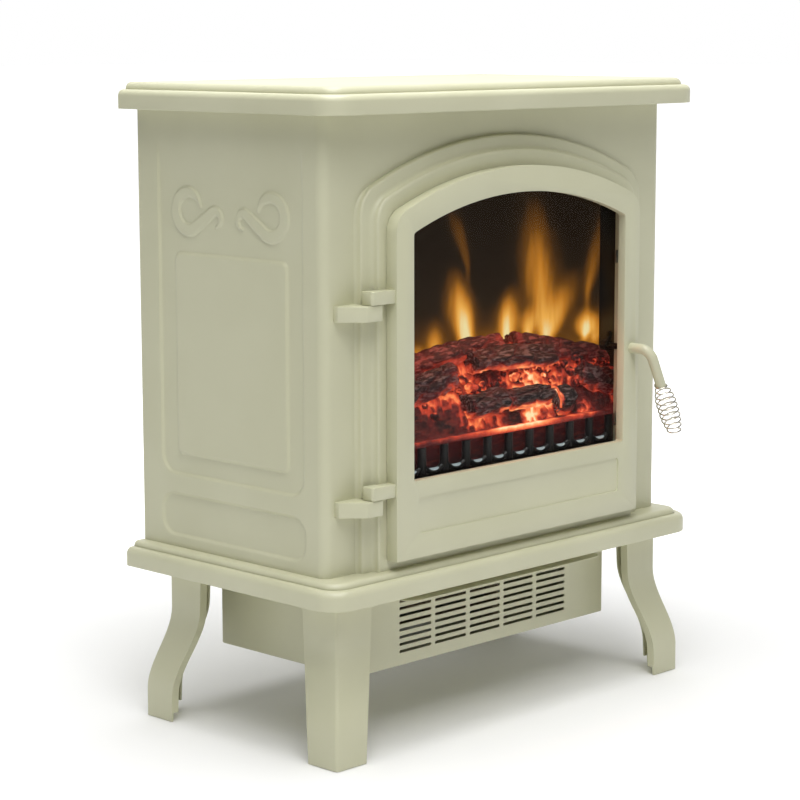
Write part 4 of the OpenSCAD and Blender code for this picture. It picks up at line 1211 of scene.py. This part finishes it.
@dataclass
class Handle:
    """Turning handle: bent rod with a spring-wire grip."""

    shop: Workshop
    rod: float = 5 * MM
    rod_tip: float = 0.86
    stud: float = 3 * MM
    bend: float = 11 * MM
    lean: float = 26.0
    arm: float = 42 * MM
    grip: float = 51 * MM
    lap: float = 5 * MM
    wire: float = 0.75 * MM
    belly: float = 10.4 * MM
    tight: float = 0.1
    turns: int = 10
    turn_steps: int = 36

    def build(self) -> None:
        """Makes the rod, its stud and its coil."""
        low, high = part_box("handle_rod")
        pivot = next(j["pos_m"] for j in self.shop.frame["joints"] if j["name"] == "handle_turn")
        x, z = pivot[0], pivot[2]
        arm_y = low.y + self.rod - 0.02 * MM
        frame = Matrix.Translation((x, arm_y, z)) @ Matrix.Rotation(math.radians(-self.lean), 4, "Y")
        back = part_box("door_frame")[1].y
        run = back - arm_y - self.bend
        path = [Vector((x, back + 1 * MM - t * run / 6, z)) for t in range(6)]
        for y, h in arc((self.bend, -self.bend), self.bend, 90, 180, 12):
            path.append(frame @ Vector((0.0, y, h)))
        tail = self.arm - self.bend
        for t in (0.5, 0.97, 0.99, 1.0):
            path.append(frame @ Vector((0.0, 0.0, -self.bend - tail * t)))
        bar = Shape()
        bar.tube(path, lambda share: self.rod * (self.rod_tip if share >= 1 else 1.0), 32)
        self.shop.fit(bar.build("handle_rod_bent", 40), "handle_rod")
        stud = Shape()
        stud.tube([Vector((x, back, z)), Vector((x, high.y, z))], self.stud, 20)
        # The stud is in painted shade: near-black steel where it shows through the window.
        self.shop.fit(stud.build("handle_rod_stud", 40), "handle_rod", SHADE_DARK_STEEL, stands_for=False)
        coil = Shape()
        coil.tube([frame @ p for p in self.coil_line()], self.wire, 8)
        self.shop.fit(coil.build("handle_coil_wire", 60), "handle_coil")

    def coil_line(self) -> list[Vector]:
        """Centre line of the grip's wire, tight on the rod and then bellied.

        Returns:
            The points in the arm's own frame.
        """
        steps = self.turns * self.turn_steps
        tight = self.rod + self.wire
        line = []
        for i in range(steps + 1):
            t, a = i / steps, math.tau * self.turns * i / steps
            free = max(0.0, (t - self.tight) / (1 - self.tight))
            bulge = math.sin(math.pi * free ** 0.9) ** 0.8 if t > self.tight else 0.0
            r = tight + (self.belly - self.wire - tight) * min(1.0, 1.12 * bulge)
            depth = self.lap - self.arm - (self.grip + self.lap) * t
            line.append(Vector((r * math.cos(a), r * math.sin(a), depth)))
        return line


@dataclass
class SplitLog:
    """One charred log: cracked bark, chipped ends, heat in its cracks, and painted ember light under it."""

    shop: Workshop
    node: str
    finish: Finish
    seed: float
    swell: float = 1.10
    along: float = 34.0
    across: float = 74.0
    crack_width: float = 0.16
    dent_share: float = 0.25
    bend_share: float = 0.35
    painted_underglow: float = 0.80
    hot_x: float = 50 * MM
    hot_reach: float = 60 * MM
    ringed: bool = False
    ringed_share: float = 0.94
    ring_shares: tuple[float, ...] = (0.12, 0.30, 0.48, 0.66, 0.82)
    ring_wire: float = 0.6 * MM
    rim_wire: float = 1.1 * MM
    rim_heat: float = 0.55
    proud: float = 1.3 * MM

    def axis(self) -> tuple[Vector, Vector, float]:
        """The two ends and the radius of the CAD log, its left or front end first.

        Returns:
            The first end, the last end and the radius.
        """
        points = self.shop.points(self.node)
        middle = points.mean(0)
        direction = np.linalg.svd(points - middle)[2][0]
        square_on = abs(direction[0]) < 0.1
        if direction[1 if square_on else 0] < 0:
            direction = -direction
        along = (points - middle) @ direction
        radius = np.linalg.norm(points - middle - np.outer(along, direction), axis=1).max()
        first, last = (Vector(middle + direction * reach) for reach in (along.min(), along.max()))
        return first, last, float(radius)

    def dent(self, p: Vector, ahead: Vector) -> tuple[float, float]:
        """How far the surface moves at a point, as a share of 1, and the heat there.

        Args:
            p: the point.
            ahead: the way along the log.

        Returns:
            The move outward and the heat of the crack.
        """
        run = p.dot(ahead)
        q = (p - ahead * run) * self.across + ahead * run * self.along
        near = noise.voronoi(q + Vector((self.seed, self.seed * 1.7, -self.seed)))[0]
        crack = min(1.0, (near[1] - near[0]) / self.crack_width)
        lump = noise.fractal(p * 40 + Vector((self.seed, 0, 0)), 0.9, 2.0, 4)
        fibre = noise.noise((p - ahead * run) * 600 + ahead * run * 60)
        return lump * 0.9 + fibre * 0.20 - (1 - crack) ** 1.5 * 0.95, (1 - crack) ** 2

    def bend(self, base: Vector, radius: float) -> float:
        """How far the log stands up from its straight axis at a point of it."""
        return noise.noise(base * 14 + Vector((self.seed, 0, 0))) * radius * self.bend_share

    def warmth(self, p: Vector, a: float, t: float, share: float, heat: float) -> float:
        """Heat of a point, from its crack, the rim of its end and the painted light of the embers under it.

        Args:
            p: the point.
            a: its angle round the log, a quarter turn at the top.
            t: its share of the length.
            share: its share of the radius.
            heat: the heat of its crack.

        Returns:
            The heat from 0 to 1.
        """
        if self.ringed:
            rim = 0.75 * (share > 0.93) * (t < 0.12) * max(0.0, math.sin(a) + 0.4)
        else:
            rim = 0.16 * (1 - min(1.0, 12 * min(t, 1 - t))) * (share == 1)
        # Painted light: the underside glows as if lit by the embers below, most near the bed's hot spot.
        below = max(0.0, -math.sin(a) - 0.15) ** 1.1
        near = 0.45 + 0.6 * math.exp(-((p.x - self.hot_x) / self.hot_reach) ** 2)
        under = below * self.painted_underglow * near * (1 + 0.8 * noise.noise(p * 90))
        patch = noise.noise(p * 38 + Vector((0, self.seed, 0))) * 0.10
        return min(1.0, max(0.0, heat * 0.14 + rim + under + patch))

    def build(self) -> None:
        """Makes the log."""
        start, end, radius = self.axis()
        radius *= self.swell
        ahead = (end - start).normalized()
        side = ahead.cross(Vector((0, 0, 1))).normalized()
        up = side.cross(ahead)
        pitch = 1.5 * MM
        count = max(8, round((end - start).length / pitch))
        sides = 56
        shares = [0.04, *(k / 12 for k in range(1, 12)), 0.96] if self.ringed else [0.30, 0.62, 0.90]
        plan = [(0.0, s) for s in shares] + [(i / count, 1.0) for i in range(count + 1)]
        plan += [(1.0, s) for s in reversed(shares)]
        shape, glow, rings = Shape(), [], []
        for t, share in plan:
            base = start.lerp(end, t)
            bend = up * self.bend(base, radius)
            taper = 1.0 - 0.10 * abs(2 * t - 1) ** 3
            ring = []
            for k in range(sides):
                a = math.tau * k / sides
                square = 1 + 0.10 * math.cos(3 * a + self.seed) + 0.05 * math.cos(5 * a)
                out = side * math.cos(a) + up * math.sin(a)
                p = base + out * radius * square * taper * share + bend
                move, heat = self.dent(p, ahead)
                p = p + out * move * radius * self.dent_share * share
                if share < 1:
                    chip = math.sin(share * radius / MM * 3.4) * 0.4 * MM + move * 0.6 * MM
                    p = p + ahead * chip * (1 if t > 0.5 else -1)
                ring.append(p)
                glow.append(self.warmth(p, a, t, share, heat))
            rings.append(ring)
        shape.loft(rings)
        self.shop.fit(shape.build(f"{self.node}_charred", 70, glow), self.node, self.finish)
        if self.ringed:
            centre = start + up * self.bend(start, radius) - ahead * self.proud
            self.growth_rings(centre, side, up, radius * self.ringed_share)

    def growth_rings(self, centre: Vector, side: Vector, up: Vector, radius: float) -> None:
        """Adds raised ashen rings before the log's front end and a hot rim over them.

        Args:
            centre: the middle of the end.
            side: the way to its side.
            up: the way to its top.
            radius: its radius.
        """
        for name, finish, shares, turn, wire, glow in (
                ("rings", ASHEN, self.ring_shares, (0, 360), self.ring_wire, 0.0),
                ("rim", EMBERS, (1.0,), (-20, 200), self.rim_wire, self.rim_heat)):
            shape = Shape()
            for share in shares:
                path = []
                for along, high in arc((0.0, 0.0), 1.0, *turn, 40):
                    a = math.atan2(high, along)
                    r = radius * share * (1 + 0.10 * math.sin(3 * a + share * 4) + 0.04 * math.sin(7 * a))
                    path.append(centre + side * r * along + up * r * high)
                shape.tube(path, wire, 8)
            made = shape.build(f"{self.node}_{name}", 60, [glow] * len(shape.verts))
            self.shop.fit(made, self.node, finish, stands_for=False)


@dataclass
class EmberBed:
    """Heap of small embers behind a glowing lip, with loose coals on it."""

    shop: Workshop
    front: float = 32 * MM
    full: float = 97 * MM
    climb: tuple[Point, ...] = ((0, 0.03), (0.17, 0.25), (0.29, 0.40), (0.48, 0.63), (0.72, 0.91),
                                (0.81, 1), (1, 1))
    crown: tuple[Point, ...] = ((-1, 0.86), (-0.36, 0.92), (0, 1), (0.44, 1), (1, 0.68))
    lip: float = 5 * MM
    behind_lip: float = 9.5 * MM
    wall: float = 3 * MM
    round_over: float = 3 * MM
    hot_x: float = 32 * MM
    lip_reach: float = 42 * MM
    rim_reach: float = 60 * MM
    spot_depth: float = 0.22
    coals: int = 150
    coal_size: Point = (2.2, 5.2)
    hot_spots: tuple[tuple[float, float, float, float], ...] = (
        (68 * MM, 0.40, 34 * MM, 0.95), (-10 * MM, 0.40, 20 * MM, 0.55), (120 * MM, 0.22, 14 * MM, 0.60),
        (-60 * MM, 0.65, 26 * MM, 0.35), (150 * MM, 0.72, 34 * MM, 0.30))

    def height(self, x: float, y: float) -> float:
        """Height of the heap at a place, with its ridges rounded over.

        Args:
            x: the place across.
            y: the place in depth.

        Returns:
            The height.
        """
        low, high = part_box("ember_bed")
        share = (y - low.y - self.behind_lip) / (high.y - low.y - self.behind_lip)
        climb = np.interp(share, *zip(*self.climb))
        slope = self.front + (self.full - self.front) * climb * min(1.0, max(0.0, share * 99 + 1))
        crown = self.full * np.interp(x / high.x, *zip(*self.crown))
        k = self.round_over
        return low.z - k * math.log(math.exp(-slope / k) + math.exp(-crown / k))

    def heat(self, x: float, share: float) -> float:
        """Warmth of the bed at a share of its depth.

        Args:
            x: the place across.
            share: the share of the depth from the front.

        Returns:
            The heat from 0 up.
        """
        spots = (power * math.exp(-((x - cx) / r) ** 2 - ((share - cs) / self.spot_depth) ** 2)
                 for cx, cs, r, power in self.hot_spots)
        return 0.20 + sum(spots)

    def near_hot(self, x: float, reach: float) -> float:
        """How near a place is to the hottest part of the lip, 1 on it."""
        return math.exp(-((x - self.hot_x) / reach) ** 2)

    def build(self) -> None:
        """Makes the bed, the wall under its lip and its coals."""
        low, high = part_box("ember_bed")
        self.skin(low, high)
        under = Shape()
        y = low.y + self.behind_lip
        under.block((low.x, y, low.z), (high.x, y + self.wall, low.z + self.front - self.lip))
        glow = [0.0] * 4 + [0.11] * 4
        self.shop.fit(under.build("ember_bed_wall", 30, glow), "ember_bed", EMBERS, stands_for=False)
        self.scatter(low, high)

    def skin(self, low: Vector, high: Vector) -> None:
        """Makes the heap's cracked skin, closed underneath.

        Args:
            low: the lowest corner of the bed's box.
            high: its highest corner.
        """
        pitch = 1.5 * MM
        columns = round((high.x - low.x) / pitch)
        rows = round((high.y - low.y) * 1.4 / pitch)
        shape, glow, rings = Shape(), [], []
        for j in range(rows + 1):
            share = j / rows
            y = low.y + (high.y - low.y) * share
            ring = []
            for i in range(columns + 1):
                x = low.x + (high.x - low.x) * i / columns
                p = Vector((x, y, self.height(x, y)))
                near = noise.voronoi(p * 110)[0]
                crack = min(1.0, (near[1] - near[0]) / 0.35)
                margin = min((x - low.x) / (6 * MM), (high.x - x) / (6 * MM))
                inside = min(1.0, share * 5, (1 - share) * 8, margin)
                lift = (crack ** 0.6 - 0.9) * 2.6 + noise.noise(p * 70) * 1.6
                ring.append(p + Vector((0, -0.4, 0.9)) * lift * MM * max(0.0, inside))
                edge = math.exp(-(share / 0.10) ** 2) * (0.18 + 0.95 * self.near_hot(x, self.lip_reach))
                patch = max(0.0, 0.72 + 1.5 * noise.noise(p * 48) + 0.5 * noise.noise(p * 150))
                glow.append(min(1.0, self.heat(x, share) * patch * (0.5 + 0.8 * (1 - crack)) + edge))
            rings.append(ring)
        foot = [Vector((v.x, v.y, v.z - self.lip)) for v in rings[0]]
        tail = [Vector((v.x, v.y, low.z + self.front - self.lip)) for v in rings[-1]]
        rim = [0.12 + 0.3 * self.near_hot(v.x, self.rim_reach) for v in foot]
        shape.loft([foot, *rings, tail], closed=False, caps=False)
        n, total = columns + 1, len(rings) + 2
        shape.faces.append(tuple(j * n for j in range(total)))
        shape.faces.append(tuple(j * n + n - 1 for j in range(total - 1, -1, -1)))
        shape.faces.append((*range(n - 1, -1, -1), *((total - 1) * n + i for i in range(n))))
        made = shape.build("ember_bed_embers", 75, [*rim, *glow, *[0.1] * n])
        self.shop.fit(made, "ember_bed", EMBERS)

    def scatter(self, low: Vector, high: Vector) -> None:
        """Drops loose coals on the bed, most of them at the back.

        Args:
            low: the lowest corner of the bed's box.
            high: its highest corner.
        """
        pick = random.Random(7)
        shape, glow = Shape(), []
        for _ in range(self.coals):
            x = pick.uniform(low.x + 8 * MM, high.x - 8 * MM)
            share = pick.uniform(0.45, 0.97) if pick.random() < 0.75 else pick.uniform(0.2, 0.5)
            y = low.y + self.behind_lip + (high.y - low.y - self.behind_lip) * share - 2 * MM
            size = pick.uniform(*self.coal_size) * MM
            middle = Vector((x, y, self.height(x, y) + size * pick.uniform(0.0, 0.6)))
            warm = self.heat(x, share) * pick.uniform(0.15, 0.7)
            lump = bmesh.new()
            bmesh.ops.create_icosphere(lump, subdivisions=2, radius=size)
            first = len(shape.verts)
            for v in lump.verts:
                dent = 1 + 0.55 * noise.noise(v.co * 210 + middle * 90)
                shape.verts.append(middle + v.co * dent)
                glow.append(min(1.0, max(0.0, warm + 0.9 * noise.noise(v.co * 400 + middle * 70))))
            shape.faces.extend(tuple(first + v.index for v in f.verts) for f in lump.faces)
            lump.free()
        self.shop.fit(shape.build("ember_bed_coals", 40, glow), "ember_bed", EMBERS, stands_for=False)


@dataclass
class Grate:
    """Round black bars on a rail of dipped saddles, each with a trim that glows as a painted highlight."""

    shop: Workshop
    bars: int = 12
    pitch: float = 29.2 * MM
    radius: float = 4 * MM
    tip: float = 0.8
    bite: float = 0.8
    rail: float = 3 * MM
    dip: float = 4 * MM
    trim_reach: float = 0.78
    trim_share: float = 0.72
    trim_lift: float = 0.4 * MM
    trim_proud: float = 0.6 * MM

    def bar_x(self, i: int) -> float:
        """Place of a bar across the grate."""
        return (i - (self.bars - 1) / 2) * self.pitch

    def saddle(self, i: int, y: float, foot: float, bright: bool) -> list[Vector]:
        """Centre line of the saddle after a bar, or of the painted-highlight trim on it.

        Args:
            i: the bar's number.
            y: the grate's place in depth.
            foot: the grate's lowest height.
            bright: whether it is the painted-highlight trim.

        Returns:
            The points from left to right.
        """
        x0 = self.bar_x(i) + self.radius * self.bite
        x1 = x0 + self.pitch - self.radius * 2 * self.bite
        r = self.rail * (self.trim_share if bright else 1.0)
        reach = self.trim_reach if bright else 1.0
        path = []
        for k in range(17):
            t = (2 * k / 16 - 1) * reach
            h = foot + 2 * self.rail - r + self.trim_lift * bright + self.dip * abs(t) ** 3
            path.append(Vector(((x0 + x1) / 2 + t * (x1 - x0) / 2, y - self.trim_proud * bright, h)))
        return path

    def build(self) -> None:
        """Makes the bars, their saddles and the painted-highlight trim."""
        low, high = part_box("fire_grate")
        y = (low.y + high.y) / 2
        bars, saddles, trim = Shape(), Shape(), Shape()
        heights = [low.z + self.rail / 2, *np.linspace(low.z + self.rail, high.z - 1.5 * MM, 6),
                   high.z - 0.5 * MM, high.z]
        for i in range(self.bars):
            path = [Vector((self.bar_x(i), y, h)) for h in heights]
            bars.tube(path, lambda share: self.radius * (self.tip if share >= 1 else 1.0), 24)
        thin = self.rail * self.trim_share
        for i in range(self.bars - 1):
            saddles.tube(self.saddle(i, y, low.z, False), self.rail, 16)
            trim.tube(self.saddle(i, y, low.z, True),
                      lambda share: thin * (0.25 + 0.75 * math.sin(math.pi * share) ** 0.4), 16)
        self.shop.fit(bars.build("fire_grate_bars", 40), "fire_grate")
        self.shop.fit(saddles.build("fire_grate_saddles", 40), "fire_grate", stands_for=False)
        # The trim is a painted highlight: glowing pale metal between the bars.
        self.shop.fit(trim.build("fire_grate_painted_glint_trim", 40), "fire_grate", PAINTED_GLINT_TRIM, stands_for=False)


@dataclass
class FlameScreen:
    """Screen with the moving picture of flames, held still."""

    shop: Workshop

    def plumes(self, foot: float) -> tuple[FlamePlume, ...]:
        """Tongues of flame from left to right.

        Args:
            foot: the height that the tongues rise from.

        Returns:
            The tongues.
        """
        table = (
            (-58, -6, 26, 9, -2, 0.36), (-34, -2, 42, 10, -2, 0.42), (10, 4, 86, 13, -22, 0.86),
            (66, 4, 60, 13, 6, 0.72), (95, 4, 38, 9, 3, 0.60), (122, 2, 168, 21, -24, 0.44),
            (126, 4, 74, 17, 42, 0.38), (181, 0, 34, 12, 2, 0.58), (196, -4, 34, 16, 4, 0.34),
            (184, 42, 100, 11, 24, 0.22), (10, 80, 80, 8, -28, 0.17), (40, -6, 34, 20, 0, 0.22))
        return tuple(FlamePlume(x * MM, foot + f * MM, h * MM, w * MM, lean * MM, power)
                     for x, f, h, w, lean, power in table)

    def build(self) -> None:
        """Makes the screen."""
        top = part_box("flame_screen")[1].z
        bed_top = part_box("ember_bed")[1].z
        picture = FlamePicture(self.plumes(bed_top), bed_top, top)
        self.shop.refined("flame_screen", 0.3 * MM, 1, finish=picture)


@dataclass
class Stage:
    """Floor, lights and camera."""

    backdrop: Point = (0.707, 0.707)
    backdrop_edge: Point = (0.55, 0.85)
    fill: float = 0.16
    floor_fade: Point = (0.15, 1.3)
    floor_glow: float = 0.9
    floor_reach: float = 30.0
    view: Triple = (-45.60, 8.87, -0.09)
    stand: Triple = (-1.6322, -1.55865, 0.6399)
    lens: float = 107.93

    def area(self, name: str, place: Sequence[float], aim: Sequence[float], size: Point, watts: float,
             colour: Colour = (1.0, 1.0, 1.0)) -> None:
        """Adds a soft area light.

        Args:
            name: its name.
            place: where it stands.
            aim: the point that it faces.
            size: its width and height.
            watts: its power.
            colour: its colour.
        """
        data = bpy.data.lights.new(name, "AREA")
        data.shape, data.size, data.size_y = "RECTANGLE", size[0], size[1]
        data.energy, data.color = watts, colour
        made = bpy.data.objects.new(name, data)
        made.location = place
        made.rotation_euler = (Vector(aim) - Vector(place)).to_track_quat("-Z", "Y").to_euler()
        bpy.context.scene.collection.objects.link(made)

    def lights(self) -> None:
        """Adds the studio light and the light of the embers."""
        world = bpy.data.worlds.new("studio")
        world.use_nodes = True
        nodes, links = world.node_tree.nodes, world.node_tree.links
        ways = nodes.new("ShaderNodeTexCoord")
        facing = nodes.new("ShaderNodeVectorMath")
        facing.operation = "DOT_PRODUCT"
        facing.inputs[1].default_value = (*self.backdrop, 0.0)
        level = nodes.new("ShaderNodeMapRange")
        level.interpolation_type = "SMOOTHSTEP"
        for key, given in zip((1, 2, 3, 4), (*self.backdrop_edge, self.fill, 1.0)):
            level.inputs[key].default_value = given
        links.new(ways.outputs["Generated"], facing.inputs[0])
        links.new(facing.outputs["Value"], level.inputs[0])
        links.new(level.outputs[0], nodes["Background"].inputs[1])
        nodes["Background"].inputs[0].default_value = (1.0, 1.0, 1.0, 1.0)
        bpy.context.scene.world = world
        self.area("key_softbox", (-1.15, -1.35, 2.3), (0, 0, 0.35), (1.2, 1.2), 25)
        self.area("top_softbox", (0.0, 0.0, 1.75), (0, 0, 0.5), (1.1, 1.1), 14)
        self.area("floor_softbox", (-0.6, -0.6, 3.2), (-0.4, -0.4, 0.0), (2.4, 2.4), 52)
        low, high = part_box("ember_bed")
        y = (low.y + high.y) / 2
        self.area("ember_glow", (0.0, y - 14 * MM, high.z + 30 * MM), (0.0, y + 2 * MM, low.z),
                  (0.26, 0.02), 0.08, (1.0, 0.30, 0.14))

    def floor(self) -> None:
        """Adds the pale floor."""
        shape = Shape()
        reach = self.floor_reach
        shape.block((-reach, -reach, -50 * MM), (reach, reach, -0.5 * MM))
        floor = shape.build("studio_floor")
        g = Graph("pale_floor")
        away = g.axis("X") * self.backdrop[0] + g.axis("Y") * self.backdrop[1]
        far = away.step(*self.floor_fade)
        floor.data.materials.append(g.finish({
            "Base Color": g.mix(g.noise(2.0, 2.0), (0.93, 0.93, 0.93), (0.95, 0.95, 0.95)),
            "Roughness": 0.9,
            "Specular IOR Level": 0.1,
            "Emission Color": g.mix(far, (0.0, 0.0, 0.0), (1.0, 1.0, 1.0)),
            "Emission Strength": self.floor_glow,
        }))

    def camera(self) -> None:
        """Adds the camera, high on the stove's left front corner."""
        azimuth, elevation, roll = (math.radians(v) for v in self.view)
        back = Vector((math.sin(azimuth) * math.cos(elevation), -math.cos(azimuth) * math.cos(elevation),
                       math.sin(elevation)))
        right = (-back).cross(Vector((0, 0, 1))).normalized()
        up = right.cross(-back)
        across = right * math.cos(roll) + up * math.sin(roll)
        upward = up * math.cos(roll) - right * math.sin(roll)
        data = bpy.data.cameras.new("camera")
        data.sensor_width, data.lens, data.clip_end = 36.0, self.lens, 100.0
        made = bpy.data.objects.new("camera", data)
        turn = Matrix((across, upward, back)).transposed().to_4x4()
        made.matrix_world = Matrix.Translation(self.stand) @ turn
        bpy.context.scene.collection.objects.link(made)
        bpy.context.scene.camera = made

    def build(self) -> None:
        """Makes the stage."""
        bpy.context.scene.view_settings.view_transform = "Standard"
        self.camera()
        self.lights()
        self.floor()


def build_casing(shop: Workshop) -> None:
    """Makes the cream casing, its legs and the heater under it.

    Args:
        shop: the workshop.
    """
    for node in ("lid", "base_plate"):
        MouldedSlab(shop, node).build()
    for node in ("left_side_panel", "right_side_panel"):
        SidePanel(shop, node).build()
    shop.refined("front_panel", 0.05 * MM, 1)
    ArchSurround(shop).build()
    for node in ("front_left_leg", "front_right_leg", "rear_left_leg", "rear_right_leg"):
        BowedLeg(shop, node).build()
    HeaterBox(shop).build()
    shop.refined("heat_deflector", 0.35 * MM)
    shop.refined("back_panel", 0.3 * MM, 1)


def build_door(shop: Workshop) -> None:
    """Makes the door, its hinges and its handle.

    Args:
        shop: the workshop.
    """
    shop.refined("door_frame", 0.4 * MM)
    shop.refined("door_hinge_blocks", 0.5 * MM)
    shop.refined("body_hinge_blocks", 0.5 * MM)
    # Latch parts in painted shade: near-black steel where they show through the window into the dark firebox.
    for node in ("latch_tongue", "latch_nut"):
        shop.refined(node, 0.2 * MM, 1, finish=SHADE_DARK_STEEL)
    Handle(shop).build()


def build_fire(shop: Workshop) -> None:
    """Makes the logs, the embers, the bars and the flames.

    Args:
        shop: the workshop.
    """
    glowing = {"back_left_log", "back_right_log"}
    logs = sorted(n for n, s in shop.slot_of.items() if s is Slot.CHARRED)
    for i, node in enumerate(logs):
        SplitLog(shop, node, LOG_RED if node in glowing else LOG_CHAR, 3.1 + 5.3 * i,
                 ringed=node == "front_right_log").build()
    EmberBed(shop).build()
    Grate(shop).build()
    FlameScreen(shop).build()


def build_controls(shop: Workshop) -> None:
    """Rounds the edges of the knobs, the rockers and their plate.

    Args:
        shop: the workshop.
    """
    for node in ("control_panel", "power_switch", "low_heat_switch", "high_heat_switch", "thermostat_knob",
                 "flame_dimmer_knob"):
        shop.refined(node, 0.5 * MM)


def main() -> None:
    """Builds the stove's looks."""
    logging.basicConfig(level=logging.INFO, format="%(name)s: %(message)s")
    shop = Workshop()
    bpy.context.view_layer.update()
    Stage().build()
    build_casing(shop)
    build_door(shop)
    build_fire(shop)
    build_controls(shop)
    shop.dress_rest()


if __name__ == "__main__":
    main()
